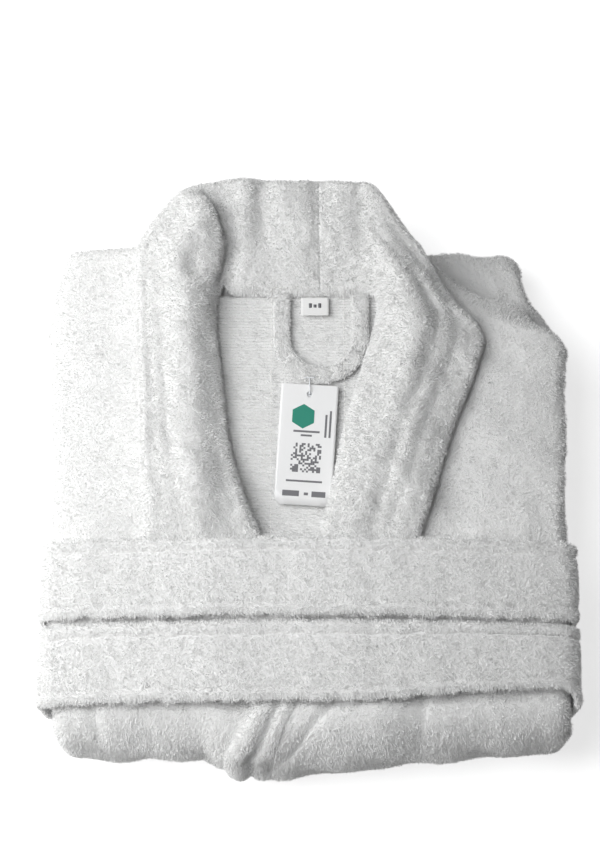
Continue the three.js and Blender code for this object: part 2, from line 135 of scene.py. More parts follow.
def make_floor():
    bpy.ops.mesh.primitive_plane_add(size=FLOOR_SIZE, location=(0, 0, (BASE - FLOOR_DROP) * MM))
    floor = bpy.context.object
    floor.name = "studio_floor"
    paper = bpy.data.materials.new("floor_paper")
    paper.use_nodes = True
    shader = paper.node_tree.nodes["Principled BSDF"]
    shader.inputs["Base Color"].default_value = (0.9, 0.9, 0.9, 1.0)
    shader.inputs["Roughness"].default_value = 1.0
    shader.inputs["Emission Strength"].default_value = FLOOR_GLOW
    light_path = paper.node_tree.nodes.new("ShaderNodeLightPath")
    spill = paper.node_tree.nodes.new("ShaderNodeMath")
    spill.operation = "MAXIMUM"
    spill.inputs[1].default_value = FLOOR_SPILL
    paper.node_tree.links.new(light_path.outputs["Is Camera Ray"], spill.inputs[0])
    paper.node_tree.links.new(spill.outputs[0], shader.inputs["Emission Color"])
    floor.data.materials.append(paper)


make_floor()
world = bpy.data.worlds.new("studio")
world.use_nodes = True
world.node_tree.nodes["Background"].inputs["Color"].default_value = (1.0, 1.0, 1.0, 1.0)
world.node_tree.nodes["Background"].inputs["Strength"].default_value = STUDIO_GLOW
bpy.context.scene.world = world
bpy.context.scene.view_settings.view_transform = "Standard"
print("camera stands", round(camera.location.length, 2), "m away")

# %% [markdown]
# ## Shader maths
# Materials are built from small expressions. Value wraps one output of a node, so that plain `+` and `*` add
# the Math nodes. Every other node comes from one method that takes its type, its settings and its inputs.

# %% A small class for shader expressions
class Value:
    def __init__(self, tree, socket):
        self.tree = tree
        self.socket = socket

    def maths(self, operation, first, second):
        node = self.tree.nodes.new("ShaderNodeMath")
        node.operation = operation
        for slot_number, given in enumerate((first, second)):
            if isinstance(given, Value):
                self.tree.links.new(given.socket, node.inputs[slot_number])
            else:
                node.inputs[slot_number].default_value = given
        return Value(self.tree, node.outputs[0])

    def __add__(self, other):
        return self.maths("ADD", self, other)

    def __radd__(self, other):
        return self.maths("ADD", other, self)

    def __mul__(self, other):
        return self.maths("MULTIPLY", self, other)

    def __rmul__(self, other):
        return self.maths("MULTIPLY", other, self)


class Finish:
    """A material with one Principled shader, and helpers that add nodes to it."""

    def __init__(self, name, **constants):
        self.material = bpy.data.materials.new(name)
        self.material.use_nodes = True
        self.tree = self.material.node_tree
        self.shader = self.tree.nodes["Principled BSDF"]
        for socket, number in constants.items():
            self.shader.inputs[socket.replace("_", " ").title()].default_value = number

    def node(self, kind, settings=None, inputs=None, output=0):
        made = self.tree.nodes.new(kind)
        for key, setting in (settings or {}).items():
            setattr(made, key, setting)
        for key, given in (inputs or {}).items():
            if isinstance(given, Value):
                self.tree.links.new(given.socket, made.inputs[key])
            else:
                made.inputs[key].default_value = given
        return Value(self.tree, made.outputs[output])

    def feed(self, socket, value):
        self.tree.links.new(value.socket, self.shader.inputs[socket])

    def places(self):
        """Object coordinates in millimetres."""
        place = self.node("ShaderNodeTexCoord", output=3)
        return self.node("ShaderNodeVectorMath", {"operation": "SCALE"}, {0: place, "Scale": 1 / MM})

    def noise(self, place, size_mm, detail=2.0, roughness=0.5):
        settings = {"Vector": place, "Scale": 1 / size_mm, "Detail": detail, "Roughness": roughness}
        return self.node("ShaderNodeTexNoise", None, settings)

    def blend_colours(self, factor, first, second):
        inputs = {0: factor, 6: (*first, 1.0), 7: (*second, 1.0)}
        return self.node("ShaderNodeMix", {"data_type": "RGBA"}, inputs, output=2)

    def waves(self, place, axis, pitch_mm):
        """Sine waves across one axis of a place, as threads or rows of weaving."""
        across = self.node("ShaderNodeSeparateXYZ", None, {0: place}, output=axis)
        return self.node("ShaderNodeMath", {"operation": "SINE"}, {0: across * (2 * math.pi / pitch_mm)})

    def bump(self, height, depth_mm):
        inputs = {"Height": height, "Distance": depth_mm * MM, "Strength": 1.0}
        self.feed("Normal", self.node("ShaderNodeBump", None, inputs))


print("shader kit ready")

# %% [markdown]
# ## Terry
# Terry is woven with a slack second warp that stands up in loops on both faces. Under the loops there is a
# ground weave. The ground's material has small bumps at the pitch of the loops. Its colour carries painted
# shade, a little darker and warmer for the light that is caught between the loops: darkest where the bumps
# dip, and in faint blotchy patches where the nap lies in different ways.

# %% Terry materials
def terry_ground(name, light, shade, row_mm=0.0):
    finish = Finish(name, roughness=0.95, sheen_weight=0.25, sheen_roughness=0.6)
    place = finish.places()
    loops = finish.noise(place, 0.9, detail=3.0, roughness=0.7)
    patches = finish.noise(place, 14.0, detail=3.0)
    # Painted shade: the colour goes towards the darker shade where the loops' bump dips and in broad
    # blotches.
    tone = 0.55 * patches + 0.45 * loops
    finish.feed("Base Color", finish.blend_colours(tone, shade, light))
    height = loops
    if row_mm:
        height = loops * 0.8 + finish.waves(place, 1, row_mm) * 0.25
    finish.bump(height, 0.8)
    return finish.material


WHITE = (0.93, 0.93, 0.925)
# The darker colours are painted shade between the loops, one for the outer face and one for the inner face.
WARM_SHADE = (0.85, 0.848, 0.84)
INSIDE_SHADE = (0.82, 0.818, 0.81)
terry = terry_ground("white_terry", WHITE, WARM_SHADE)
row_terry = terry_ground("white_terry_rows", WHITE, INSIDE_SHADE, row_mm=2.2)


def pile_finish(name, colour):
    base = (*colour, 1.0)
    return Finish(name, base_color=base, roughness=0.9, sheen_weight=0.3, sheen_roughness=0.5).material


pile_tones = [
    pile_finish("loop_cotton_bright", (0.945, 0.945, 0.94)),
    pile_finish("loop_cotton", (0.925, 0.925, 0.92)),
    pile_finish("loop_cotton_soft", (0.90, 0.90, 0.895)),
]
print("terry materials:", terry.name, row_terry.name, len(pile_tones), "pile tones")

# %% [markdown]
# ## Meshes from grids
# Cloth is easiest to think of as a grid: one direction along the robe, the other across it. A grid of points
# becomes a closed sheet by moving it out and in along its normals by half the cloth's thickness, and by
# closing its four edges with a small rounded rim.

# %% Helpers that turn grids into pieces
def enclosed_volume(points, quads):
    """Signed volume inside closed faces: negative when they all face inwards."""
    a, b, c, d = (points[quads[:, k]] for k in range(4))
    return float(((np.cross(b - a, c - a) + np.cross(c - a, d - a)) * a).sum()) / 6


def new_piece(name, points, quads, body, slot, material, stands_for=()):
    mesh = bpy.data.meshes.new(name)
    quads = np.asarray(quads, dtype=np.int32)
    if enclosed_volume(np.asarray(points, float), quads) < 0:
        quads = quads[:, ::-1]
    corners = quads.shape[1]
    mesh.vertices.add(len(points))
    mesh.vertices.foreach_set("co", (np.asarray(points) * MM).astype(np.float32).ravel())
    mesh.loops.add(quads.size)
    mesh.loops.foreach_set("vertex_index", quads.ravel())
    mesh.polygons.add(len(quads))
    mesh.polygons.foreach_set("loop_start", np.arange(0, quads.size, corners, dtype=np.int32))
    mesh.polygons.foreach_set("use_smooth", np.ones(len(quads), dtype=bool))
    mesh.update(calc_edges=True)
    mesh.validate()
    materials = material if isinstance(material, list) else [material]
    for each in materials:
        mesh.materials.append(each)
    piece = bpy.data.objects.new(name, mesh)
    bpy.context.scene.collection.objects.link(piece)
    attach(piece, body)
    if stands_for:
        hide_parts(*stands_for)
    return piece


def unit(vectors):
    length = np.linalg.norm(vectors, axis=-1, keepdims=True)
    return vectors / np.maximum(length, 1e-9)


def grid_normals(grid):
    along = np.gradient(grid, axis=0)
    across = np.gradient(grid, axis=1)
    return unit(np.cross(along, across))


def grid_quads(rows, columns, offset=0, flip=False):
    index = offset + np.arange(rows * columns).reshape(rows, columns)
    corners = [index[:-1, :-1], index[1:, :-1], index[1:, 1:], index[:-1, 1:]]
    quads = np.stack(corners, axis=-1).reshape(-1, 4)
    return quads[:, ::-1] if flip else quads


def ring_quads(index):
    """Quads between closed rings of points, one ring a row."""
    after = np.roll(index, -1, axis=1)
    return np.stack([index[:-1], index[1:], after[1:], after[:-1]], axis=-1).reshape(-1, 4)


def join_parts(parts):
    """One list of points and one of faces from several pairs of them."""
    points = []
    faces = []
    offset = 0
    for made, index in parts:
        points.append(made)
        faces.append(index + offset)
        offset += len(made)
    return np.concatenate(points), np.concatenate(faces)


def border(index, inset=0):
    """The numbers once round a grid's edge, or of each one's neighbour one step further in."""
    first, last = inset, -1 - inset
    return np.concatenate([index[first, :-1], index[:-1, last], index[last, :0:-1], index[:0:-1, first]])


RIM_REACH = 0.42  # how far the rim stands out, as a share of the thickness


def sheet_mesh(grid, thickness):
    """A closed sheet round a grid of middle points: outer face, inner face and a rounded rim."""
    rows, columns = grid.shape[:2]
    normals = grid_normals(grid)
    outer = grid + normals * thickness / 2
    inner = grid - normals * thickness / 2
    count = rows * columns
    index = np.arange(count).reshape(rows, columns)
    ring = border(index)
    flat = grid.reshape(-1, 3)
    rim = flat[ring] + unit(flat[ring] - flat[border(index, 1)]) * thickness * RIM_REACH
    points = np.concatenate([outer.reshape(-1, 3), inner.reshape(-1, 3), rim])
    after = np.roll(np.arange(len(ring)), -1)
    rim_index = 2 * count + np.arange(len(ring))
    upper = np.stack([ring, ring[after], rim_index[after], rim_index], axis=-1)
    lower = np.stack([rim_index, rim_index[after], ring[after] + count, ring + count], axis=-1)
    quads = [grid_quads(rows, columns), grid_quads(rows, columns, count, flip=True), upper, lower]
    return points, np.concatenate(quads)


def stretch_of(*stretches):
    """Sample places along a line, denser where cloth shows: each stretch is (from, to, step)."""
    parts = []
    for start, end, step in stretches:
        count = max(2, int(abs(end - start) / step) + 1)
        parts.append(np.linspace(start, end, count)[(1 if parts else 0):])
    return np.concatenate(parts)


print("grid helpers ready")

# %% [markdown]
# ## The fold
# Both sides of the robe are turned onto its back, and the long skirt is rolled up in thirds. Every layer
# follows the same rolled path, at its own depth below the outer face of the fronts. This clean layout has no
# layer inside another. All the softness comes afterwards from one smooth warp of space, which moves
# neighbouring layers together, so they still never cross.

# %% The rolled path
HEM_RADIUS = (TOP - BASE) / 2
TURN_RADIUS = (MIDDLE_TOP - BASE) / 2
HEM_CENTRE = FRONT_END + HEM_RADIUS
TURN_CENTRE = ROLL_TOP - TURN_RADIUS
TOP_RUN = SHOULDER - HEM_CENTRE
HEM_RUN = math.pi * HEM_RADIUS
UNDER_RUN = TURN_CENTRE - HEM_CENTRE
TURN_RUN = math.pi * TURN_RADIUS
ROBE_LENGTH = TOP_RUN + HEM_RUN + UNDER_RUN + TURN_RUN + (TURN_CENTRE - HEM)
SEAM_CURL = 3.5  # the top edge of the front curls down to the shoulder seam


def rolled(s, depth):
    """Y and Z of cloth at length s from the shoulder seam and at a depth below the fronts' outer face."""
    s, depth = np.broadcast_arrays(np.asarray(s, float), np.asarray(depth, float))
    after_top = s - TOP_RUN
    after_hem = after_top - HEM_RUN
    after_under = after_hem - UNDER_RUN
    after_turn = after_under - TURN_RUN
    hem_angle = math.pi / 2 + after_top / HEM_RADIUS
    turn_angle = -math.pi / 2 + after_under / TURN_RADIUS
    hem_reach = HEM_RADIUS - depth
    turn_reach = TURN_RADIUS - depth
    curl = np.clip(-s / SEAM_CURL, 0, 1) * math.pi / 2
    y = SHOULDER - np.maximum(s, 0) + SEAM_CURL * np.sin(curl)
    z = TOP - depth - SEAM_CURL * (1 - np.cos(curl))
    on_hem = (after_top > 0) & (after_hem <= 0)
    y = np.where(on_hem, HEM_CENTRE + hem_reach * np.cos(hem_angle), y)
    z = np.where(on_hem, BASE + HEM_RADIUS + hem_reach * np.sin(hem_angle), z)
    under = (after_hem > 0) & (after_under <= 0)
    y = np.where(under, HEM_CENTRE + after_hem, y)
    z = np.where(under, BASE + depth, z)
    on_turn = (after_under > 0) & (after_turn <= 0)
    y = np.where(on_turn, TURN_CENTRE + turn_reach * np.cos(turn_angle), y)
    z = np.where(on_turn, BASE + TURN_RADIUS + turn_reach * np.sin(turn_angle), z)
    y = np.where(after_turn > 0, TURN_CENTRE - after_turn, y)
    z = np.where(after_turn > 0, MIDDLE_TOP - depth, z)
    return y, z


HEM_END = TOP_RUN + HEM_RUN
UNDER_END = HEM_END + UNDER_RUN
TURN_END = UNDER_END + TURN_RUN
LENGTH_SAMPLES = stretch_of(
    (-SEAM_CURL, TOP_RUN, 3.2),
    (TOP_RUN, HEM_END, 3.0),
    (HEM_END, UNDER_END, 5.0),
    (UNDER_END, TURN_END, 3.0),
    (TURN_END, ROBE_LENGTH, 14.0),
)
print("robe length from shoulder to hem:", round(ROBE_LENGTH), "mm in", len(LENGTH_SAMPLES), "rows")

# %% [markdown]
# ## The warp
# The warp moves points sideways, lengthways and upwards by smooth amounts that depend only on where they are.
# It draws in the outline, slopes the left shoulder, droops the folded edges, puffs the cloth beside the belt
# and gathers it there. Some broad seeded ripples keep it from looking machine-made.

# %% The warp that makes the layout soft
def smooth_step(x, start, end):
    t = np.clip((x - start) / (end - start), 0, 1)
    return t * t * (3 - 2 * t)


def bump_at(x, centre, width):
    return np.exp(-(((x - centre) / width) ** 2))


class Ripples:
    """Smooth seeded noise: a few sine waves of about one wavelength in random directions."""

    def __init__(self, seed, wavelength, waves=7):
        random = np.random.default_rng(seed)
        directions = unit(random.normal(size=(waves, 3)))
        self.vectors = directions * (2 * math.pi / (wavelength * random.uniform(0.7, 1.5, (waves, 1))))
        self.phases = random.uniform(0, 2 * math.pi, waves)

    def __call__(self, x, y, z):
        turns = np.stack(np.broadcast_arrays(x, y, z), axis=-1) @ self.vectors.T + self.phases
        return np.sin(turns).sum(axis=-1) / math.sqrt(len(self.phases))


broad = Ripples(3, 95)
middling = Ripples(5, 38)
fine = Ripples(8, 17)
BELT_TOP_Y = belt_high[1]
BELT_FOOT_Y = belt_low[1]
SLEEVE_BASE = box_mm("left_sleeve")[0][2]
PULL_START = -60.0  # from here on the sides are drawn out or in to the rolled end's outline


def half_width(y, side):
    """How far the folded sides reach, which is never quite straight."""
    left = np.interp(
        y,
        [-219, -200, -175, -115, -60, 8, 60, 98, 115, 131, 145, 160, 176],
        [182, 184, 185, 185, 184, 186, 188, 190, 184, 170, 164, 160, 152],
    )
    right = np.interp(
        y,
        [-219, -200, -175, -115, -60, 8, 100, 150, 176],
        [177, 178, 181, 185, 183, 186, 190, 183, 177],
    )
    return np.where(side > 0, left, right)


def rolled_end(x):
    """The outline of the rolled end: the lapping front hangs out lowest, and the corners draw in."""
    return np.interp(
        x,
        [-187, -176, -150, -126, -78, -66, -50, -20, 30, 74, 150, 180, 187],
        [-197, -203, -205, -205, -204, -211, -214, -214, -211, -207, -202, -199, -195],
    )


def shoulder_line(x):
    """The wearer's left shoulder slopes away from the neck; the other one is square."""
    return np.interp(x, [98, 112, 128, 150, 187], [SHOULDER, 150, 138, 131, 124])


def hem_creases(x, y):
    """Depth of the creases and the hollow that the belt pulls into the rolled end."""
    below_belt = 1 - smooth_step(y, BELT_FOOT_Y - 4, BELT_FOOT_Y + 6)
    slanting = bump_at(x, np.interp(y, [-217, -202, -176], [-31, -6, 16]), 4.0)
    upright = bump_at(x, 80 + 0.1 * (y + 190), 3.5)
    left = bump_at(x, -156 - 0.15 * (y + 190), 4.0)
    hollow = bump_at(x, -115, 26) * bump_at(y, -196, 14)
    return below_belt * (3.0 * slanting + 1.8 * upright + 2.6 * left + 2.5 * hollow)


def in_neck_opening(x, y):
    """1 in the neck opening, where the cloth stays calm and low so that the loop and the tag lie on it."""
    lengthways = smooth_step(y, -80, -52) * (1 - smooth_step(y, 128, 140))
    return lengthways * (1 - smooth_step(np.abs(x + 5), 52, 76))


def under_belt(y):
    """1 under the belt, which presses the layers level."""
    from_foot = smooth_step(y, BELT_FOOT_Y - 8, BELT_FOOT_Y + 4)
    return from_foot * (1 - smooth_step(y, BELT_TOP_Y - 2, BELT_TOP_Y + 10))


def warped_x(x, y, z):
    """Follow the outline of the folded sides, with waves that grow towards them."""
    side = np.sign(x)
    edge = np.clip(np.abs(x) / HALF_WIDTH, 0, 1)
    wave = 1.5 * middling(y * 0.5, z * 3.2, side * 40) + 0.6 * fine(y, z * 2, side * 9)
    return x * half_width(y, side) / HALF_WIDTH + side * edge**10 * wave


def warped_y(x, y, z):
    """Reach to the rolled end's outline, and slope the left shoulder above the sleeves."""
    reach = np.clip((PULL_START - y) / (PULL_START - FRONT_END), 0, 1.05)
    long = np.where(y < PULL_START, PULL_START + (rolled_end(x) - PULL_START) * reach, y)
    long = long + 1.6 * reach**3 * middling(x, z * 1.5, 0)
    long = long + 2.0 * smooth_step(y, 120, 170) * middling(x * 0.7, z * 2, 50)
    upper = smooth_step(z, SLEEVE_BASE - 4, SLEEVE_BASE)
    slope = np.clip((y - 80) / (SHOULDER - 80), 0, 1.1) * upper
    long = long - slope * (SHOULDER - shoulder_line(x))
    return long + 6.0 * smooth_step(y, 130, 172) * smooth_step(x, 40, 100) * (1 - upper)


def warped_z(x, y, z):
    """Puff, droop and wrinkle the layers, least under the belt and in the neck opening."""
    height = np.clip((z - BASE) / (TOP - BASE), 0, 1.2)
    edge = np.clip(np.abs(x) / HALF_WIDTH, 0, 1)
    in_neck = in_neck_opening(x, y)
    in_belt = under_belt(y)
    puff = 0.055 * bump_at(y, BELT_TOP_Y + 34, 30) + 0.025 * bump_at(y, 60, 70)
    puff = puff + 0.03 * bump_at(y, BELT_FOOT_Y - 22, 18)
    corner = np.where(x > 0, 0.10, 0.05) * smooth_step(y, 118, 170)
    droop = 0.07 * edge**5 + corner * (0.4 + 0.6 * edge**2)
    uneven = 0.016 * broad(x, y, z) * (1 - 0.7 * in_belt)
    free = (1 - 0.9 * in_belt) * (1 - in_neck)
    lift = BASE + (z - BASE) * (1 + (puff - droop + uneven) * free)
    gathers = np.exp(-np.abs(y - BELT_TOP_Y) / 26) * (1 - in_belt)
    wrinkles = 1.5 * gathers * np.sin(x / 9.5 + 1.4 * middling(x, y * 0.3, 4)) + 0.7 * middling(x, y, 7)
    lift = lift + smooth_step(height, 0.35, 1.0) * wrinkles * (1 - 0.85 * in_belt) * (1 - in_neck)
    lift = lift - 1.6 * in_neck * smooth_step(z, 50, 70)
    sink = 0.25 * smooth_step(y, 105, 166) * smooth_step(x, 95, 130)
    lift = lift - sink * np.maximum(z - SLEEVE_BASE, 0)
    return lift - hem_creases(x, y) * smooth_step(height, 0.4, 0.9)


def soften(points):
    """Move points of the clean layout to where they lie in the real, soft bundle."""
    x, y, z = points[..., 0], points[..., 1], points[..., 2]
    return np.stack([warped_x(x, y, z), warped_y(x, y, z), warped_z(x, y, z)], axis=-1)


print("warp at the middle of the top:", soften(np.array([[0.0, 0.0, TOP]])).round(1))

# %% [markdown]
# ## Fronts and back
# Each front runs from its free edge to the side fold, round the fold and back in to the side seam, where it
# meets the back. The back lies one layer deeper and is folded at both sides. The left front laps over the
# right one, so at the lap one rises a little and the other sinks.

# %% Fronts and back
CLOTH = 3.4  # ground weave of terry; the loops stand on it
SIDE_RADIUS = THIRD / 2
SIDE_CENTRE = HALF_WIDTH - SIDE_RADIUS
SIDE_SEAM = 20.0
FRONT_COLUMNS = 68
BACK_COLUMNS = 104


def side_fold(t, radius):
    """X and depth along a folded side, t being the length from the start of the fold."""
    arc = math.pi * radius
    angle = -math.pi / 2 + np.clip(t, 0, arc) / radius
    x = SIDE_CENTRE + np.minimum(t, 0) + radius * np.cos(angle) - np.maximum(t - arc, 0)
    return x, SIDE_RADIUS + radius * np.sin(angle)


FRONT_RADIUS = SIDE_RADIUS - SOLID_CLOTH / 2
BACK_RADIUS = SIDE_RADIUS - LAYER - SOLID_CLOTH / 2
FRONT_DEPTH = SOLID_CLOTH / 2

# The free edges of the fronts: X at some lengths from the shoulder seam.
EDGE_AT = [0, 35, 55, 105, 185, 240, 276, 323, 350, 380, 430, ROBE_LENGTH]
LEFT_EDGE_X = [96, 92, 74, 58, 38, 12, -28, -31, -44, -60, -56, -42]
RIGHT_EDGE_X = [-106, -104, -90, -80, -70, -50, 30, 55, 60, 60, 60, 60]


def left_edge(s):
    return np.interp(s, EDGE_AT, LEFT_EDGE_X)


def right_edge(s):
    return np.interp(s, EDGE_AT, RIGHT_EDGE_X)


def front_grid(side, edge):
    """Middle points of a front, from its free edge to the side seam."""
    arc = math.pi * FRONT_RADIUS
    end = arc + SIDE_CENTRE - SIDE_SEAM
    fold = stretch_of((0, arc, 2.6), (arc, end, 14.0))
    fold_x, fold_depth = side_fold(fold[1:], FRONT_RADIUS)
    flat_share = np.linspace(0, 1, FRONT_COLUMNS)[None, :]
    s = LENGTH_SAMPLES[:, None]
    start = side * edge(s)
    flat_x = start + (SIDE_CENTRE - start) * flat_share
    if side > 0:
        flat_depth = FRONT_DEPTH - 2.8 * (1 - smooth_step(flat_x, 48, 76)) * smooth_step(s, 235, 262)
    else:
        flat_depth = FRONT_DEPTH + 0.9 * (1 - smooth_step(flat_x, 34, 48)) + 0 * s
    x = np.concatenate([flat_x, np.broadcast_to(fold_x, (len(s), len(fold_x)))], axis=1)
    depth = np.concatenate([flat_depth, np.broadcast_to(fold_depth, (len(s), len(fold_depth)))], axis=1)
    y, z = rolled(s, depth)
    grid = np.stack([side * x, y, z], axis=-1)
    return soften(grid if side < 0 else grid[:, ::-1])


def back_grid():
    """Middle points of the back, folded at both sides and cut lower at the neck."""
    arc = math.pi * BACK_RADIUS
    end = arc + SIDE_CENTRE - SIDE_SEAM
    flat = np.linspace(-SIDE_CENTRE, SIDE_CENTRE, BACK_COLUMNS)
    fold = stretch_of((0, arc, 2.2), (arc, end, 14.0))
    fold_x, fold_depth = side_fold(fold[1:], BACK_RADIUS)
    x = np.concatenate([-fold_x[::-1], flat, fold_x])
    depth = np.concatenate([fold_depth[::-1], np.full(len(flat), SIDE_RADIUS - BACK_RADIUS), fold_depth])
    s = LENGTH_SAMPLES[LENGTH_SAMPLES >= 0][:, None]
    neckline = 34 * (1 - smooth_step(np.abs(x + 6), 70, 100))
    from_neck = s + neckline * np.clip(1 - s / 120, 0, 1)
    y, z = rolled(from_neck, depth)
    return soften(np.stack([np.broadcast_to(x, y.shape), y, z], axis=-1)[:, ::-1])


def cloth_piece(name, grid, thickness, stands_for, body="root", slot="white_terry", material=terry):
    points, quads = sheet_mesh(grid, thickness)
    return new_piece(name, points, quads, body, slot, material, stands_for)


left_cloth = front_grid(1, left_edge)
right_cloth = front_grid(-1, right_edge)
back_cloth = back_grid()
left_front = cloth_piece("left_front", left_cloth, CLOTH, ["left_front_panel"])
right_front = cloth_piece("right_front", right_cloth, CLOTH, ["right_front_panel"])
back = cloth_piece("back", back_cloth, CLOTH, ["back_panel"], material=row_terry)
print("fronts and back:", [len(piece.data.polygons) for piece in (left_front, right_front, back)])

# %% [markdown]
# ## Shawl collar
# The collar is one doubled band cut in two halves, which meet in a seam at the centre back. At the back it
# lies open, with its inner face up. At the sides it stands up and turns over, and becomes the rolled lapels.
# Each half is lofted through stations: a neck edge, an outer edge, and the height of the cloth between them.

# %% Collar halves
def through(table, count):
    """A smooth curve through the rows of a table, by Catmull-Rom spans."""
    rows = np.asarray(table, float)
    padded = np.concatenate([2 * rows[:1] - rows[1:2], rows, 2 * rows[-1:] - rows[-2:-1]])
    place = np.linspace(0, len(rows) - 1, count)
    span = np.minimum(place.astype(int), len(rows) - 2)
    t = (place - span)[:, None]
    a, b, c, d = (padded[span + shift] for shift in range(4))
    square = (2 * a - 5 * b + 4 * c - d) * t**2
    cube = (3 * b - a - 3 * c + d) * t**3
    return 0.5 * (2 * b + (c - a) * t + square + cube)


def closed_slab(top, bottom):
    """A closed body between two grids that share their outline."""
    rows, columns = top.shape[:2]
    count = rows * columns
    ring = border(np.arange(count).reshape(rows, columns))
    after = np.roll(ring, -1)
    side = np.stack([ring, after, after + count, ring + count], axis=-1)
    points = np.concatenate([top.reshape(-1, 3), bottom.reshape(-1, 3)])
    quads = [grid_quads(rows, columns, flip=True), grid_quads(rows, columns, count), side]
    return points, np.concatenate(quads)


def rounded(t, inner=0.09, outer=0.07):
    """Height share across a slab that closes in a round edge at both sides."""
    rise = np.clip(t / inner, 0, 1)
    fall = np.clip((1 - t) / outer, 0, 1)
    return np.sqrt(1 - (1 - rise) ** 2) * np.sqrt(1 - (1 - fall) ** 2)


COLLAR_ROWS = 190
COLLAR_COLUMNS = 56
THINNEST_COLLAR = 2.5

# Each station: neck edge x, y; outer edge x, y; height of the underside at both; cloth height at the neck
# edge, on the ridge, and at the outer edge; how far across the ridge lies; depth of the two creases.
LEFT_COLLAR = [
    [9, 131, 9, 219, 68, 74, 4.5, 6.5, 7, 0.5, 0],
    [34, 131, 38, 219, 68, 75, 4.5, 7, 8, 0.5, 0],
    [48, 131, 60, 214, 69, 76, 6, 10, 9, 0.5, 0],
    [54, 129, 90, 180, 72, 77, 10, 16, 9, 0.5, 0.4],
    [53, 118, 116, 146, 75, 77, 12, 20, 9, 0.45, 1],
    [47, 100, 126, 108, 76, 77, 12, 21, 8, 0.42, 1],
    [36, 62, 119, 67, 76, 77, 11, 20, 8, 0.40, 1],
    [26, 25, 104, 27, 76, 77, 10, 18, 8, 0.40, 1],
    [16, -22, 89, -24, 76, 77, 9, 15, 7, 0.40, 0.8],
    [7, -52, 79, -55, 76, 77, 6, 8, 6, 0.40, 0.4],
    [2, -72, 70, -76, 76, 77, 4, 4, 4, 0.5, 0],
    [-6, -102, 46, -106, 76, 77, 3, 3, 3, 0.5, 0],
    [-14, -132, 16, -134, 76, 77, 2.6, 2.6, 2.6, 0.5, 0],
]
RIGHT_COLLAR = [
    [9, 131, 9, 219, 68, 74, 4.5, 6.5, 7, 0.5, 0],
    [-28, 131, -34, 219, 68, 75, 4.5, 7, 8, 0.5, 0],
    [-50, 131, -70, 220, 68, 76, 4.5, 9, 10, 0.6, 0],
    [-60, 134, -96, 212, 68, 78, 4, 20, 12, 0.62, 0],
    [-62, 140, -115, 192, 69, 78, 4, 24, 12, 0.55, 0],
    [-64, 138, -130, 166, 70, 77, 6, 24, 11, 0.45, 0.3],
    [-68, 122, -127, 136, 73, 77, 9, 21, 10, 0.38, 0.6],
    [-66, 95, -123, 100, 74, 77, 9, 19, 9, 0.36, 1],
    [-62, 55, -121, 58, 74, 77, 9, 17, 8, 0.36, 1],
    [-57, 15, -121, 16, 74, 77, 9, 16, 8, 0.36, 1],
    [-47, -22, -119, -24, 76, 77, 12, 16, 7, 0.35, 0.8],
    [-36, -50, -115, -54, 76, 77, 7, 9, 6, 0.40, 0.4],
    [-32, -72, -104, -76, 76, 77, 4, 4, 4, 0.5, 0],
    [-24, -102, -78, -106, 76, 77, 3, 3, 3, 0.5, 0],
    [-18, -132, -46, -134, 76, 77, 2.6, 2.6, 2.6, 0.5, 0],
]


def collar_half(table, crease_from, crease_to, pleats):
    """Top and bottom grids of one half. The creases run from one share across to another down the lapel."""
    rings = through(table, COLLAR_ROWS)
    t = 0.5 - 0.5 * np.cos(np.linspace(0, math.pi, COLLAR_COLUMNS))[None, :]
    column = [rings[:, k : k + 1] for k in range(rings.shape[1])]
    neck_x, neck_y, outer_x, outer_y, under_neck, under_outer = column[:6]
    at_neck, at_ridge, at_outer, ridge, crease_depth = column[6:]
    x = neck_x + (outer_x - neck_x) * t
    y = neck_y + (outer_y - neck_y) * t
    under = under_neck + (under_outer - under_neck) * t
    rise = smooth_step(t, 0, 1e-3 + ridge)
    fall = smooth_step(t, ridge, 1)
    height = at_neck + (at_ridge - at_neck) * rise + (at_outer - at_ridge) * fall
    down = np.linspace(0, 1, len(rings))[:, None]
    for start, end, width, depth in zip(crease_from, crease_to, (0.08, 0.07), (3.0, 1.8)):
        height = height - crease_depth * depth * bump_at(t, start + (end - start) * down, width)
    height = height + pleats(x, y) * smooth_step(t, 0.0, 0.14)
    height = height + 0.8 * middling(x, y, 20) + 0.15 * fine(x, y, 5)
    end_seam = np.clip(np.abs(x - CENTRE_BACK) / 1.8, 0.55, 1) ** 0.5
    height = np.maximum(height, THINNEST_COLLAR) * rounded(t) * end_seam
    top = soften(np.stack([x, y, under + height], axis=-1))
    bottom = soften(np.stack([x, y, under + 0 * t], axis=-1))
    return top, bottom


def back_pleats(x, y):
    """The roll of the right lapel stands over the collar's back in a step, with soft pleats beside it."""
    step_x = np.interp(y, [100, 114, 135, 169, 194, 206], [-60, -63, -69, -66, -74, -84])
    beside = x - step_x
    zone = smooth_step(y, 92, 116) * (1 - smooth_step(y, 196, 212))
    on_roll = smooth_step(-beside, -2.5, 2.0)
    step = 6.5 * on_roll * bump_at(beside, -5, 17) - 6.0 * (1 - on_roll) * bump_at(beside, 3, 11)
    dimple = -7.5 * bump_at(x, -87, 8) * bump_at(y, 148, 13)
    pleats = bump_at(x, -22, 7) * 1.2 - bump_at(x, -36, 7) * 2.2 + bump_at(x, -50, 7) * 2.6
    return zone * step + dimple + pleats * smooth_step(y, 150, 196)


def calm_back(x, y):
    """One soft swell and one shallow pleat behind the left side of the neck."""
    swell = 1.2 * bump_at(x, 30, 12) * smooth_step(y, 140, 200)
    return swell - 1.6 * bump_at(x, 46, 6) * smooth_step(y, 150, 205)


def slab_of_cloth(name, top, bottom, stands_for):
    return new_piece(name, *closed_slab(top, bottom), "root", "white_terry", terry, stands_for)


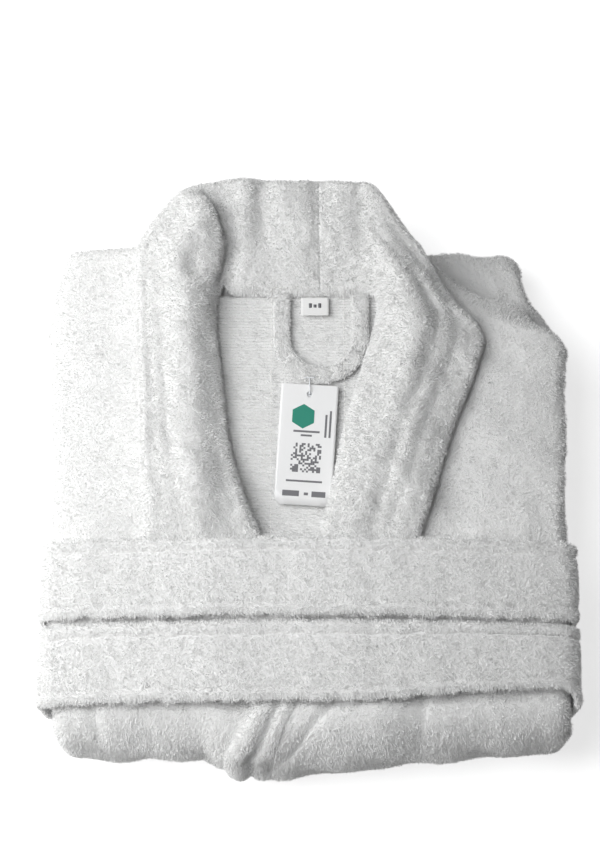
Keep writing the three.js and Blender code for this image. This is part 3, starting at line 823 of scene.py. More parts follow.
left_top, left_bottom = collar_half(LEFT_COLLAR, (0.66, 0.86), (0.42, 0.60), calm_back)
right_top, right_bottom = collar_half(RIGHT_COLLAR, (0.80, 0.95), (0.62, 0.80), back_pleats)
left_collar = slab_of_cloth("left_lapel", left_top, left_bottom, ["left_collar"])
right_collar = slab_of_cloth("right_lapel", right_top[:, ::-1], right_bottom[:, ::-1], ["right_collar"])
print("collar halves:", len(left_collar.data.polygons), len(right_collar.data.polygons), "faces")

# %% [markdown]
# ## Belt
# The belt is one strip of terry, folded lengthways and sewn along one edge. It is wound twice round the
# bundle, crosses to the second turn underneath, and both ends are tucked in under it. Its section is drawn
# across the strip: a flat band with a sewn groove near the upper edge and a full, folded lower edge.

# %% Belt
BELT_WIDTH = 53.0
BELT_CLOTH = CLOTH
HALF_LANE = 26.0
BELT_UPPER = BELT_TOP_Y - HALF_LANE
BELT_LOWER = BELT_FOOT_Y + HALF_LANE
BELT_SIDE = HALF_WIDTH - 0.4
BELT_CORNER = 9.0
BELT_SIDE_TOP = TOP + 1.2
BELT_ARCH = 5.6
BELT_TAIL = 150.0  # how far from the middle the tucked ends stop
BELT_COLUMNS = 34
BELT_UNDER_Z = BELT_CLOTH + 0.5  # inner face of the strip where it lies under the bundle
BELT_SEAM = 0.72  # the sewn line lies this share of the half width above the strip's middle


def belt_outline():
    """Inner face of one turn from the left underside to the right, as x, z and the direction outwards."""
    span = BELT_SIDE - BELT_CORNER
    low = BELT_UNDER_Z + BELT_CORNER
    high = BELT_SIDE_TOP - BELT_CORNER
    quarter = np.linspace(0, math.pi / 2, 9)

    def corner(side, centre_z, start):
        angle = start - quarter
        x = side * span + BELT_CORNER * np.cos(angle)
        z = centre_z + BELT_CORNER * np.sin(angle)
        return np.stack([x, z, np.cos(angle), np.sin(angle)], axis=-1)

    up = np.linspace(low, high, 18)[1:-1]
    left_side = np.stack([0 * up - BELT_SIDE, up, 0 * up - 1, 0 * up], axis=-1)
    right_side = np.stack([0 * up + BELT_SIDE, up[::-1], 0 * up + 1, 0 * up], axis=-1)
    part = np.linspace(-1, 1, 150)[1:-1]
    lumps = 1.3 * bump_at(part, -0.40, 0.16) + 1.2 * bump_at(part, 0.20, 0.22)
    lumps = lumps - 0.8 * bump_at(part, -0.13, 0.07)
    z = BELT_SIDE_TOP + BELT_ARCH * (1 - part**2) ** 0.8 + lumps
    slope = np.gradient(z, span * part)
    length = np.hypot(slope, 1)
    over = np.stack([span * part, z, -slope / length, 1 / length], axis=-1)
    left = [corner(-1, low, -math.pi / 2), left_side, corner(-1, high, math.pi)]
    right = [corner(1, high, math.pi / 2), right_side, corner(1, low, 0)]
    return np.concatenate([*left, over, *right])


def belt_grid():
    """Middle points of the strip, from one tucked end round twice to the other."""
    turn = belt_outline()
    tail_steps = np.linspace(BELT_TAIL, BELT_SIDE - BELT_CORNER, 8)[:-1]
    cross = np.linspace(BELT_SIDE - BELT_CORNER, -(BELT_SIDE - BELT_CORNER), 90)[1:-1]

    def flat(x):
        return np.stack([x, 0 * x + BELT_UNDER_Z, 0 * x, 0 * x - 1], axis=-1)

    line = np.concatenate([flat(-tail_steps), turn, flat(cross), turn, flat(tail_steps[::-1])])
    one_lane = len(tail_steps) + len(turn)
    slant = np.linspace(BELT_UPPER, BELT_LOWER, len(cross) + 2)[1:-1]
    lane = np.concatenate([np.full(one_lane, BELT_UPPER), slant, np.full(one_lane, BELT_LOWER)])
    x, z, out_x, out_z = line.T
    on_top = np.clip(out_z, 0, 1)
    lower = (lane < (BELT_UPPER + BELT_LOWER) / 2).astype(float)
    bow = on_top * (3.4 * (1 - (x / BELT_SIDE) ** 2) + lower * 6.5 * smooth_step(x, 10, BELT_SIDE))
    across = np.linspace(-1, 1, BELT_COLUMNS)[None, :]
    narrow = 1 - 0.22 * (lower * smooth_step(x, 10, BELT_SIDE) * on_top)[:, None]
    seam = bump_at(across, BELT_SEAM, 0.04)
    crown = 1.0 * (1 - across**4) + 1.6 * bump_at(across, -0.86, 0.11) + 0.7 * bump_at(across, 0.9, 0.08)
    crown = crown - 0.7 * bump_at(across, -0.66, 0.07) - 2.3 * seam
    turns = np.arange(len(x))[:, None] / 9.0
    crinkle = 0.35 * middling(x[:, None] * 1.3, across * 20 + lane[:, None], z[:, None])
    crinkle = crinkle + 0.12 * np.sin(turns * 5)
    out = BELT_CLOTH / 2 + crown + crinkle - 0.6
    waver = 0.7 * fine(x, 0 * x, lane)[:, None]
    y = lane[:, None] + bow[:, None] + across * narrow * BELT_WIDTH / 2 + waver
    return np.stack([x[:, None] + out * out_x[:, None], y, z[:, None] + out * out_z[:, None]], axis=-1)


belt_cloth = belt_grid()
belt = cloth_piece("belt_strip", belt_cloth, BELT_CLOTH, ["belt"], body="belt")
print("belt:", len(belt.data.polygons), "faces")

# %% [markdown]
# ## Facings, sleeves, cuffs and pockets
# The free edge of each front is finished with a doubled band. The sleeves are flattened tubes that end in
# turned-back cuffs, folded away inside. The patch pockets end up underneath, where the robe rests on them.

# %% Facings, sleeves, cuffs and pockets
FACING = 30.0
FACING_START = 238.0  # length from the shoulder seam; above it the lapel covers the front's edge


def facing_grid(edge, lift, direction):
    """The band along a front's free edge. Below the belt the outer one shows two rolls and a groove."""
    s = LENGTH_SAMPLES[LENGTH_SAMPLES > FACING_START][:, None]
    across = np.linspace(0, 1, 14)[None, :]
    x = edge(s) - 1.0 * direction + direction * FACING * across
    swell = 0.9 * (1 - (2 * across - 1) ** 4)
    outside_belt = smooth_step(s, 330, 345) * (1 - smooth_step(s, HEM_END - 40, HEM_END))
    edge_roll = 2.6 * bump_at(across, 0.22, 0.2) - 2.4 * bump_at(across, 0.56, 0.13)
    edge_roll = edge_roll + 0.9 * bump_at(across, 0.78, 0.1)
    swell = swell + edge_roll * outside_belt * (direction > 0)
    y, z = rolled(s, lift - swell + 0 * x)
    grid = np.stack([x, y, z], axis=-1)
    return soften(grid[:, ::-1] if direction > 0 else grid)


left_band = facing_grid(left_edge, FRONT_DEPTH - 3.6, 1)
right_band = facing_grid(right_edge, FRONT_DEPTH + 0.6, -1)
left_facing = cloth_piece("left_facing", left_band, 3.0, ["left_front_facing"])
right_facing = cloth_piece("right_facing", right_band, 2.4, ["right_front_facing"])


def soft_slab(node, round_far=0.0, grow=0.0):
    """A rounded slab in the place of a frame solid; it can grow in Y, and its far corners can be rounded."""
    low, high = box_mm(node)
    u = 0.5 - 0.5 * np.cos(np.linspace(0, math.pi, 44))[:, None]
    t = 0.5 - 0.5 * np.cos(np.linspace(0, math.pi, 36))[None, :]
    y = low[1] + (high[1] + grow - low[1]) * u + 0 * t
    corner = np.clip((y - (high[1] - round_far)) / max(round_far, 1e-6), 0, 1) if round_far else 0 * y
    draw_in = round_far * (1 - np.sqrt(1 - np.minimum(corner, 0.999) ** 2))
    centre = (low[0] + high[0]) / 2
    half = (high[0] - low[0]) / 2 - draw_in
    x = centre + half * (2 * t - 1)
    middle = (low[2] + high[2]) / 2
    share = rounded(t, 0.06, 0.06) * rounded(u, 0.06, 0.06)
    half_height = (high[2] - low[2]) / 2 * (0.12 + 0.88 * share)
    top = np.stack([x, y, middle + half_height], axis=-1)
    bottom = np.stack([x, y, middle - half_height], axis=-1)
    return top, bottom


def slab_piece(name, node, warped=True, **shape):
    """A slab's piece with its unwarped top face. The pockets lie flat on the floor, so they aren't warped."""
    top, bottom = soft_slab(node, **shape)
    faces = (soften(top), soften(bottom)) if warped else (top, bottom)
    return slab_of_cloth(name, faces[0][:, ::-1], faces[1][:, ::-1], [node]), top


slabs = {}
for side in ("left", "right"):
    slabs[side] = [
        slab_piece(f"{side}_sleeve_tube", f"{side}_sleeve", grow=6.0),
        slab_piece(f"{side}_cuff_band", f"{side}_cuff"),
        slab_piece(f"{side}_pocket_patch", f"{side}_pocket", warped=False, round_far=22.0),
    ]
slab_pieces = [piece for made in slabs.values() for piece, top in made]
print("sleeves, cuffs and pockets:", [piece.name for piece in slab_pieces])

# %% [markdown]
# ## The small pieces
# Two belt loops and a care label are sewn into the side seams. The hanging loop is a narrow band of the
# robe's own cloth, bent into a U at the neck seam, with a woven size label between its ends. The hang tag is
# a card on a clear plastic fastener. Its print is generic: a plain hexagon, bars and a field of squares.

# %% Loops and labels
LOOP_BAND = 10.4
LOOP_COLUMNS = 9
LOOP_SHORTER = 1.6  # keeps the loop's lower edge clear of the card when the tag turns
LOOP_CLOTH = 2.3
LABEL_CLOTH = 0.6
LABEL_CURL = 1.6


def band_grid(line, across_direction, width, columns):
    across = np.linspace(-0.5, 0.5, columns)[None, :, None]
    return line[:, None, :] + across_direction[:, None, :] * across * width


def hanging_loop_grid():
    """A band along a U: down one leg, round the turn and up the other leg."""
    centre_x = (loop_low[0] + loop_high[0]) / 2
    radius = (loop_high[0] - loop_low[0]) / 2 - LOOP_BAND / 2
    centre_y = loop_low[1] + LOOP_BAND / 2 + radius + LOOP_SHORTER
    end_y = loop_high[1]
    leg = np.linspace(end_y, centre_y, 12)[:-1]
    turn = np.linspace(math.pi, 2 * math.pi, 46)
    x = np.concatenate([0 * leg - radius, radius * np.cos(turn), 0 * leg + radius]) + centre_x
    y = np.concatenate([leg, centre_y + radius * np.sin(turn), leg[::-1]])
    lift = 0.5 * fine(x * 1.5, y, 3)
    z = loop_low[2] + LOOP_CLOTH / 2 + 0.4 + lift * smooth_step(end_y - y, 4, 20)
    line = np.stack([x, y, z], axis=-1)
    along = unit(np.gradient(line, axis=0))
    sideways = unit(np.cross(along, [0.0, 0.0, 1.0]))
    grid = band_grid(line, sideways, LOOP_BAND, LOOP_COLUMNS)
    crown = 0.5 * (1 - np.linspace(-1, 1, LOOP_COLUMNS) ** 2)[None, :]
    grid[..., 2] = grid[..., 2] + crown
    return grid


loop_cloth = hanging_loop_grid()
hanging_loop = cloth_piece("hanging_loop_band", loop_cloth, LOOP_CLOTH, ["hanging_loop"],
                           body="hanging_loop", slot="hanging_loop_cloth")


def woven_finish(name, colour, thread_mm):
    finish = Finish(name, roughness=0.45, sheen_weight=0.2)
    place = finish.places()
    weave = 0.5 + 0.25 * finish.waves(place, 0, thread_mm) + 0.25 * finish.waves(place, 1, thread_mm)
    dark = tuple(0.9 * c for c in colour)
    finish.feed("Base Color", finish.blend_colours(weave, dark, colour))
    finish.bump(weave, 0.15)
    return finish.material


label_tape = woven_finish("woven_label", (0.93, 0.93, 0.92), 0.5)


def label_piece(name, node, body, curl):
    """A thin tape in the place of a frame solid, curling up towards its free end."""
    low, high = box_mm(node)
    y = np.linspace(high[1], low[1], 16)[:, None]
    x = np.linspace(low[0], high[0], 14)[None, :]
    along = (high[1] - y) / (high[1] - low[1])
    bow = 0.2 * np.sin((x - low[0]) / (high[0] - low[0]) * math.pi)
    z = (low[2] + high[2]) / 2 + curl * along**2 + bow
    grid = np.stack(np.broadcast_arrays(x, y, z), axis=-1)
    return cloth_piece(name, grid, LABEL_CLOTH, [node], body, "woven_label", label_tape)


size_label = label_piece("size_label_tape", "size_label", "size_label", LABEL_CURL)
care_label = label_piece("care_label_tape", "care_label", "root", 0.5)


def belt_loop_piece(side):
    low, high = box_mm(f"{side}_belt_loop")
    y = np.linspace(low[1], high[1], 24)[:, None]
    x = (low[0] + high[0]) / 2 + LOOP_BAND * np.linspace(-0.5, 0.5, 7)[None, :]
    arch = 3.0 * np.sin((y - low[1]) / (high[1] - low[1]) * math.pi)
    grid = np.stack(np.broadcast_arrays(x, y, low[2] + 1.1 + arch), axis=-1)
    return cloth_piece(f"{side}_belt_loop_band", grid[:, ::-1], 2.0, [f"{side}_belt_loop"])


belt_loops = [belt_loop_piece(side) for side in ("left", "right")]
small_pieces = [hanging_loop, size_label, care_label, *belt_loops]
print("small pieces:", [piece.name for piece in small_pieces])

# %% [markdown]
# ## Hang tag
# The hang tag is stiff card with a hole near its top edge. A clear plastic fastener holds it to the hanging
# loop: a short crossbar over the loop, a thin arm, a stem through the card's hole and a round foot behind the
# card. The print is a set of thin raised shapes with no letters in it.

# %% Hang tag and fastener
card_finish = Finish("tag_card", base_color=(0.80, 0.80, 0.80, 1.0), roughness=0.35, coat_weight=0.25)
card_grain = card_finish.noise(card_finish.places(), 1.2)
card_finish.feed("Roughness", 0.3 + 0.15 * card_grain)
plastic_finish = Finish("clear_plastic", base_color=(0.86, 0.88, 0.9, 1.0), roughness=0.22, alpha=0.75)
plastic_grain = plastic_finish.noise(plastic_finish.places(), 2.0)
plastic_finish.feed("Roughness", 0.18 + 0.1 * plastic_grain)
green_ink = Finish("green_ink", base_color=(0.005, 0.22, 0.15, 1.0), roughness=0.5).material
grey_ink = Finish("grey_ink", base_color=(0.16, 0.16, 0.17, 1.0), roughness=0.6).material
TAG_WIDTH = 43.0
TAG_LENGTH = 90.0
TAG_HOLE_FROM_TOP = 7.0
TAG_THICKNESS = 0.8
TAG_TURN = math.radians(-3.7)
HOLE_RADIUS = 1.8
PIN_RADIUS = 0.6
FOOT_RADIUS = 2.6
pin_low, pin_high = box_mm("tag_fastener")
HOLE_X = (pin_low[0] + pin_high[0]) / 2
HOLE_Y = pin_low[1] + FOOT_RADIUS
TAG_Z = box_mm("hang_tag")[0][2]


def on_tag(across, down, height):
    """Frame millimetres of a point given across the card, down from its hole, and above its back face."""
    across, down, height = np.broadcast_arrays(across, down, height)
    cos, sin = math.cos(TAG_TURN), math.sin(TAG_TURN)
    x = HOLE_X + across * cos + down * sin
    y = HOLE_Y + across * sin - down * cos
    return np.stack([x, y, TAG_Z + height], axis=-1)


def card_bend(down):
    """The card is very slightly curled along its length."""
    return 0.9 * ((down - 40) / 45) ** 2 - 0.9 * (40 / 45) ** 2


def tag_body():
    """Rings of points from the hole out to the card's rounded outline, closed above and below."""
    count = 96
    angle = np.linspace(0, 2 * math.pi, count, endpoint=False)
    top = -TAG_HOLE_FROM_TOP
    bottom = TAG_LENGTH - TAG_HOLE_FROM_TOP
    direction = np.stack([np.sin(angle), np.cos(angle)], axis=-1)
    reach_x = (TAG_WIDTH / 2 - 0.6) / np.maximum(np.abs(direction[:, 0]), 1e-6)
    reach_y = np.where(direction[:, 1] > 0, bottom, -top) / np.maximum(np.abs(direction[:, 1]), 1e-6)
    reach = np.minimum(reach_x, reach_y)
    ring_share = np.linspace(0, 1, 16) ** 1.3  # closer together near the hole
    radius = HOLE_RADIUS + (reach[None, :] - HOLE_RADIUS) * ring_share[:, None]
    across = radius * direction[None, :, 0]
    down = radius * direction[None, :, 1]
    upper = on_tag(across, down, TAG_THICKNESS + card_bend(down))
    lower = on_tag(across, down, card_bend(down))
    rings = len(ring_share)
    index = np.arange(rings * count).reshape(rings, count)
    after = np.roll(index, -1, axis=1)
    face = ring_quads(index)
    below = rings * count
    outer_rim = np.stack([index[-1], index[-1] + below, after[-1] + below, after[-1]], axis=-1)
    hole_rim = np.stack([index[0], after[0], after[0] + below, index[0] + below], axis=-1)
    points = np.concatenate([upper.reshape(-1, 3), lower.reshape(-1, 3)])
    return points, np.concatenate([face, face[:, ::-1] + below, outer_rim, hole_rim])


card = card_finish.material
hang_tag = new_piece("hang_tag_card", *tag_body(), "hang_tag", "tag_card", card, ["hang_tag"])
INK = 0.12


def ink_shape(outline):
    """A thin closed plate over an outline of (across, down) corners on the card."""
    across, down = np.array(outline, float).T
    height = TAG_THICKNESS + card_bend(down)
    centre = np.array([[across.mean(), down.mean()]])
    middle = on_tag(centre[:, 0], centre[:, 1], TAG_THICKNESS + card_bend(centre[:, 1]) + INK)
    points = np.concatenate([on_tag(across, down, height + INK), on_tag(across, down, height - 0.05), middle])
    count = len(across)
    here = np.arange(count)
    after = np.roll(here, -1)
    walls = np.stack([here, after, after + count, here + count], axis=-1)
    lids = np.stack([here, after, here * 0 + 2 * count], axis=-1)
    return points, walls, lids


def bar(left, top, width, height):
    return [(left, top), (left, top + height), (left + width, top + height), (left + width, top)]


def polygon(centre_x, centre_y, radius, sides):
    angle = np.linspace(0, 2 * math.pi, sides, endpoint=False)
    return list(zip(centre_x + radius * np.sin(angle), centre_y + radius * np.cos(angle)))


def print_piece(name, outlines, ink):
    """Ink shapes joined in one mesh: each has walls round it and a fan of triangles on top."""
    points = []
    faces = []
    offset = 0
    for outline in outlines:
        made, walls, lids = ink_shape(outline)
        points.append(made)
        faces.extend((walls + offset).tolist())
        faces.extend((lids + offset).tolist())
        offset += len(made)
    mesh = bpy.data.meshes.new(name)
    mesh.from_pydata((np.concatenate(points) * MM).tolist(), [], faces)
    mesh.materials.append(ink)
    piece = bpy.data.objects.new(name, mesh)
    bpy.context.scene.collection.objects.link(piece)
    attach(piece, "hang_tag")
    return piece


def block_field(left, top, cells, cell, random):
    """A field of small squares: a plain pattern from the seeded generator that encodes nothing."""
    filled = random.random((cells, cells)) < 0.52
    size = cell * 0.98
    places = [(row, column) for row in range(cells) for column in range(cells) if filled[row, column]]
    return [bar(left + cell * column, top + cell * row, size, size) for row, column in places]


grey_bars = [
    bar(-10, 27.5, 19, 1.5),
    bar(-4.5, 30.5, 8, 1.4),
    bar(12.5, 15, 1.5, 17),
    bar(15.6, 12, 1.4, 20),
    bar(-13, 64.6, 26, 1.4),
    bar(-15, 72.5, 12, 4.2),
    bar(0.5, 73.6, 3.0, 2.0),
    bar(6, 72.5, 10, 4.2),
]
squares = block_field(-10.6, 37.0, 15, 1.45, np.random.default_rng(41))
tag_mark = print_piece("tag_mark", [polygon(-3.5, 17.0, 9.2, 6)], green_ink)
tag_print = print_piece("tag_print", grey_bars + squares, grey_ink)


DOME_SHARE = 0.08  # the share of a tube's length that its domed end takes
DOME_FLATNESS = 0.97


def tube(points, radius, sides=10):
    """A closed round tube with domed ends along a line of points."""
    line = np.asarray(points, float)
    along = unit(np.gradient(line, axis=0))
    helper = np.array([0.0, 0.0, 1.0]) if abs(along[0, 2]) < 0.8 else np.array([0.0, 1.0, 0.0])
    side = unit(np.cross(along, helper))
    up = np.cross(side, along)
    angle = np.linspace(0, 2 * math.pi, sides, endpoint=False)
    share = np.linspace(0, 1, len(line))
    into_dome = np.clip((np.abs(share - 0.5) - 0.5) / DOME_SHARE + 1, 0, 1)
    dome = np.sqrt(1 - DOME_FLATNESS * into_dome**2)
    ring = side[:, None] * np.cos(angle)[None, :, None] + up[:, None] * np.sin(angle)[None, :, None]
    shell = line[:, None] + ring * (radius * dome)[:, None, None]
    rows = len(line)
    index = np.arange(rows * sides).reshape(rows, sides)
    caps = []
    for ring, flip in ((index[0], False), (index[-1], True)):
        for k in range(sides // 2 - 1):
            quad = [ring[k], ring[k + 1], ring[sides - 2 - k], ring[sides - 1 - k]]
            caps.append(quad[::-1] if flip else quad)
    return shell.reshape(-1, 3), np.concatenate([ring_quads(index), np.array(caps)])


BAR_Y = pin_high[1] - 0.571
BAR_Z = pin_high[2] - PIN_RADIUS
BAR_HALF = 4.2
STEM_FOOT = pin_low[2] + 0.4
FOOT_HEIGHT = 1.0


def straight(start, end):
    share = np.linspace(0, 1, 26)[:, None]
    return np.array(start) + share * (np.array(end) - np.array(start))


def fastener_parts():
    """Crossbar over the loop, arched arm, stem down through the hole, and foot behind the card."""
    crossbar = straight([HOLE_X - BAR_HALF, BAR_Y, BAR_Z], [HOLE_X + BAR_HALF, BAR_Y, BAR_Z])
    arm = straight([HOLE_X, BAR_Y, BAR_Z], [HOLE_X, HOLE_Y, BAR_Z])
    arm[:, 2] += np.sin(np.linspace(0, math.pi, len(arm)))
    stem = straight([HOLE_X, HOLE_Y, BAR_Z], [HOLE_X, HOLE_Y, STEM_FOOT])
    foot = straight([HOLE_X, HOLE_Y, pin_low[2]], [HOLE_X, HOLE_Y, pin_low[2] + FOOT_HEIGHT])
    return [tube(crossbar, 0.62), tube(arm, 0.5), tube(stem, 0.5), tube(foot, 2.5, 20)]


plastic = plastic_finish.material
fastener = new_piece("tag_fastener_bar", *join_parts(fastener_parts()), "tag_fastener", "clear_plastic",
                     plastic, ["tag_fastener"])
print("tag faces:", [len(piece.data.polygons) for piece in (hang_tag, tag_mark, tag_print, fastener)])

# %% [markdown]
# ## Pile
# What makes terry look like terry is its pile: loops of soft cotton, about 2 mm high, that lean one way and
# another in small tufts. Here each tuft is a narrow ribbon, one leaning and tapering quad. Tufts grow only
# where the cloth shows: a short ray outwards that meets other cloth means the face is hidden. Where the belt,
# the loop or the tag lies close above, and on the underside, the pile is pressed short. The nap's direction
# drifts, so tufts gather in patches.

# %% Pile
PILE_HEIGHT = 2.1
TUFT_WIDTH = 0.36
PRESSED_PILE = 0.7
MOST_TUFTS = 98000
UPWARD = 0.25  # faces whose normal rises more than this are seen from above
HIDDEN_REACH = 9.0
PRESSED_REACH = 8.0
DOWNWARD = -0.6  # faces whose normal falls below this lie on the floor
SHORTEST_PILE = 0.35
nap_a = Ripples(21, 11)
nap_b = Ripples(22, 11)
nap_lift = Ripples(23, 8)


def quad_faces(piece):
    """Corner points of every quad of a piece, in millimetres."""
    mesh = piece.data
    points = np.empty(len(mesh.vertices) * 3, np.float32)
    mesh.vertices.foreach_get("co", points)
    totals = np.empty(len(mesh.polygons), np.int32)
    starts = np.empty(len(mesh.polygons), np.int32)
    mesh.polygons.foreach_get("loop_total", totals)
    mesh.polygons.foreach_get("loop_start", starts)
    corners = np.empty(len(mesh.loops), np.int32)
    mesh.loops.foreach_get("vertex_index", corners)
    starts = starts[totals == 4]
    index = corners[starts[:, None] + np.arange(4)[None, :]]
    return points.reshape(-1, 3).astype(float) / MM, index


def tree_of(pieces):
    points, quads = join_parts(quad_faces(piece) for piece in pieces)
    return BVHTree.FromPolygons(points.tolist(), quads.tolist())


robe_pieces = [left_front, right_front, back, left_collar, right_collar, left_facing, right_facing]
robe_pieces += slab_pieces + belt_loops
moving_pieces = [belt, hanging_loop, size_label, hang_tag, fastener]
robe_tree = tree_of(robe_pieces)
moving_tree = tree_of(moving_pieces)


def outward_hits(tree, centres, normals, start, reach):
    """Distance from just above each face to the next cloth outwards; very far where there is none."""
    distance = np.full(len(centres), 1e3)
    for k, (centre, normal) in enumerate(zip(centres, normals)):
        found = tree.ray_cast(Vector(centre + normal * start), Vector(normal), reach)
        if found[3] is not None:
            distance[k] = found[3]
    return distance


def ribbons(base, normal, lean, height, width, random):
    """One leaning, twisted and tapering quad for every tuft."""
    side = unit(np.cross(normal, lean) + 1e-6)
    spin = random.uniform(-1.2, 1.2, (len(base), 1))
    side = unit(side * np.cos(spin) + lean * np.sin(spin))
    twist = unit(side + lean * random.uniform(-0.6, 0.6, (len(base), 1)))
    root = base - normal * 0.25
    lying = random.uniform(0.25, 0.85, (len(base), 1))
    tip = base + (normal * np.sqrt(1 - lying**2) + lean * lying) * height[:, None]
    half = (width / 2)[:, None]
    rows = [root - side * half, root + side * half, tip + twist * half * 0.7, tip - twist * half * 0.7]
    points = np.stack(rows, axis=1).reshape(-1, 3)
    quads = np.arange(len(base) * 4).reshape(-1, 4)
    return points, quads


def pile_on(piece, seed, per_mm2, body="root", slot="white_terry", height=PILE_HEIGHT,
            reach=HIDDEN_REACH, width=TUFT_WIDTH, thin=None, part="all"):
    """Grow the pile of one piece as a separate mesh on the same body, at a number of tufts a square mm."""
    random = np.random.default_rng(seed)
    points, quads = quad_faces(piece)
    corner = points[quads]
    centres = corner.mean(axis=1)
    crossed = np.cross(corner[:, 2] - corner[:, 0], corner[:, 3] - corner[:, 1])
    areas = np.linalg.norm(crossed, axis=1) / 2
    normals = unit(crossed)
    kept_share = np.ones(len(areas))
    if thin is not None:
        kept_share[: len(thin)] = thin
    keep = areas > 0.05
    if part != "all":
        keep &= (normals[:, 2] > UPWARD) == (part == "top")
    faces = [values[keep] for values in (corner, centres, normals, areas, kept_share)]
    open_air = outward_hits(robe_tree, faces[1], faces[2], 0.6, reach) > reach
    corner, centres, normals, areas, kept_share = (values[open_air] for values in faces)
    if body == "root":
        pressed = outward_hits(moving_tree, centres, normals, 0.3, PRESSED_REACH) < PRESSED_REACH
    else:
        pressed = np.zeros(len(areas), dtype=bool)
    # Faces turned up are seen most, and the ones underneath are pressed on the floor.
    share = np.where(normals[:, 2] > UPWARD, 1.0, 0.8)
    share = np.where(normals[:, 2] < DOWNWARD, 0.1, share) * kept_share
    count = min(int((areas * share).sum() * per_mm2), MOST_TUFTS)
    count = count
    chosen = random.choice(len(areas), count, p=areas * share / (areas * share).sum())
    u, v = random.random((2, count, 1))
    a, b, c, d = (corner[chosen, k] for k in range(4))
    base = (a * (1 - u) + b * u) * (1 - v) + (d * (1 - u) + c * u) * v
    normal = normals[chosen]
    x, y, z = base.T
    nap = np.stack([0.5 * nap_a(x, y, z), 0.4 * nap_b(x, y, z) - 1.0, 0 * x - 0.5], axis=-1)
    nap = nap + random.normal(size=(count, 3)) * 0.5
    lean = unit(nap - normal * (nap * normal).sum(axis=1, keepdims=True))
    tall = height * (0.9 + 0.12 * nap_lift(x, y, z)) * random.uniform(0.6, 1.15, count)
    tall = np.where(random.random(count) < 0.04, tall * 1.4, tall)
    tall = tall * kept_share[chosen] ** 0.5
    low = pressed[chosen] | (normal[:, 2] < DOWNWARD)
    tall = np.where(low, np.minimum(tall, PRESSED_PILE), tall)
    tall = np.maximum(tall, SHORTEST_PILE)
    wide = width * random.uniform(0.6, 1.3, count) * 1.0
    points, quads = ribbons(base, normal, lean, tall, wide, random)
    ending = "_pile" if part == "all" else f"_{part}_pile"
    pile = new_piece(piece.name + ending, points, quads, body, slot, pile_tones)
    tones = random.integers(0, len(pile_tones), count).astype(np.int32)
    if len(pile.data.polygons) == len(tones):
        pile.data.polygons.foreach_set("material_index", tones)
    return pile


# The belt's outer face comes first in its mesh, row by row; its pile is thin along the sewn line.
belt_across = (np.arange(BELT_COLUMNS - 1) + 0.5) / (BELT_COLUMNS - 1) * 2 - 1
belt_thin = np.tile(1 - 0.93 * bump_at(belt_across, BELT_SEAM, 0.07), len(belt_cloth) - 1)

piles = {}
for part, density in (("top", 3.6), ("rest", 2.2)):
    piles[f"left_front_{part}"] = pile_on(left_front, 101, density, part=part)
    piles[f"right_front_{part}"] = pile_on(right_front, 102, density, part=part)
    piles[f"belt_{part}"] = pile_on(belt, 106, density, body="belt", reach=4.5, thin=belt_thin, part=part)
piles["left_collar"] = pile_on(left_collar, 103, 3.8)
piles["right_collar"] = pile_on(right_collar, 104, 3.8)
piles["left_facing"] = pile_on(left_facing, 105, 2.8, reach=5.0)
piles["back"] = pile_on(back, 107, 3.6, height=1.5)
for piece in slab_pieces:
    piles[piece.name] = pile_on(piece, 110 + len(piles), 1.6, height=1.8)
piles["hanging_loop"] = pile_on(hanging_loop, 130, 5.0, body="hanging_loop", slot="hanging_loop_cloth",
                                height=1.5, reach=0.5, width=0.4)
print("pile faces:", {key: len(pile.data.polygons) for key, pile in piles.items()})

# %% [markdown]
# ## Stitching
# Sewing thread lies in short stitches with small gaps. The belt's long seam is sewn through all its layers,
# so it sinks into the terry. The collar is top-stitched along the neck seam, and the size label is held at
# the two ends of its upper edge.

# %% Stitch rows
thread_finish = Finish("sewing_thread", base_color=(0.9, 0.89, 0.87, 1.0), roughness=0.55, sheen_weight=0.3)


def stitch_row(name, line, body, slot, pitch=4.0, length=2.9, radius=0.32):
    """Small thread stitches along a line of surface points."""
    steps = np.linalg.norm(np.diff(line, axis=0), axis=1)
    travelled = np.concatenate([[0], np.cumsum(steps)])
    starts = np.arange(pitch / 2, travelled[-1] - length, pitch)

    def at(distance):
        return np.stack([np.interp(distance, travelled, line[:, k]) for k in range(3)], axis=-1)

    parts = [tube(at(start + np.linspace(0, length, 5)), radius, 6) for start in starts]
    return new_piece(name, *join_parts(parts), body, slot, thread_finish.material)


seam_column = int(round((BELT_SEAM + 1) / 2 * (BELT_COLUMNS - 1)))
belt_outside = belt_cloth + grid_normals(belt_cloth) * (BELT_CLOTH / 2 + 0.1)
belt_stitches = stitch_row("belt_seam_stitches", belt_outside[3:-3, seam_column], "belt", "white_terry")


NECK_COLUMN = 9
NECK_SEAM_HALF = 27.0  # the seam shows between the hanging loop's two ends


def neck_line(top):
    """The part of a collar half's top face that runs along the back of the neck."""
    line = top[:, NECK_COLUMN] + np.array([0, 0, 0.15])
    return line[np.abs(line[:, 0]) < NECK_SEAM_HALF][2:]


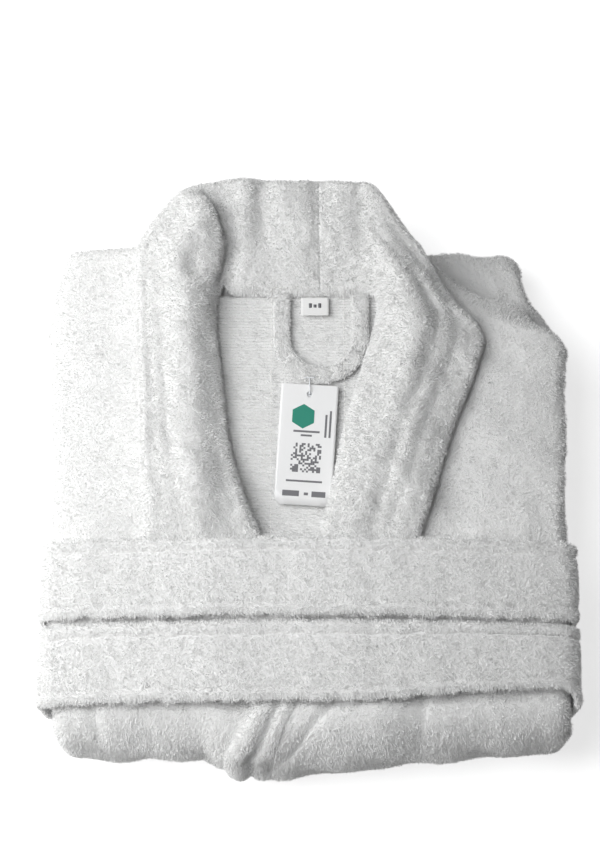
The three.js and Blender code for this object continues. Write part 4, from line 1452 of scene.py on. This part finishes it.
neck_stitches = [
    stitch_row("left_neck_stitches", neck_line(left_top), "root", "white_terry"),
    stitch_row("right_neck_stitches", neck_line(right_top), "root", "white_terry"),
]
label_low, label_high = box_mm("size_label")
label_face = (label_low[2] + label_high[2]) / 2 + LABEL_CLOTH / 2 + 0.35


def label_edge(x):
    y = np.linspace(label_high[1] - 0.5, label_high[1] - 3.5, 6)
    return np.stack([0 * y + x, y, 0 * y + label_face], axis=-1)


label_stitches = [
    stitch_row(f"label_{side}_stitches", label_edge(x), "size_label", "woven_label", 1.4, 1.1, 0.16)
    for side, x in (("left", label_low[0] + 1.2), ("right", label_high[0] - 1.2))
]


BLOCK_WIDTH = 2.2
BLOCK_HEIGHTS = [5.0, 3.2, 5.0]
BLOCK_PITCH = 3.4
BLOCK_FACES = np.array([[0, 1, 2, 3], [7, 6, 5, 4], [0, 4, 5, 1], [1, 5, 6, 2], [2, 6, 7, 3], [3, 7, 4, 0]])


def label_mark():
    """A generic woven mark: three plain blocks that spell nothing."""
    y = label_low[1] + 7.0
    along = (label_high[1] - y) / (label_high[1] - label_low[1])
    z = label_face + LABEL_CURL * along**2 - 0.05
    parts = []
    for k, height in enumerate(BLOCK_HEIGHTS):
        x = (label_low[0] + label_high[0]) / 2 + (k - 1) * BLOCK_PITCH
        corners = np.array([[-1, -1], [1, -1], [1, 1], [-1, 1]]) * np.array([BLOCK_WIDTH, height]) / 2
        flat = np.concatenate([corners + np.array([x, y]), np.full((4, 1), z)], axis=1)
        parts.append((np.concatenate([flat, flat - np.array([0, 0, 0.5])]), BLOCK_FACES))
    return new_piece("label_mark", *join_parts(parts), "size_label", "woven_label", grey_ink)


mark = label_mark()
stitch_rows = [belt_stitches, *neck_stitches, *label_stitches]
print("stitches:", [piece.name for piece in stitch_rows], "and", mark.name)

# %% [markdown]
# ## The end
# Every piece of the robe is built. The collar halves, the facings and the belt are doubled cloth.


print("all pieces built")
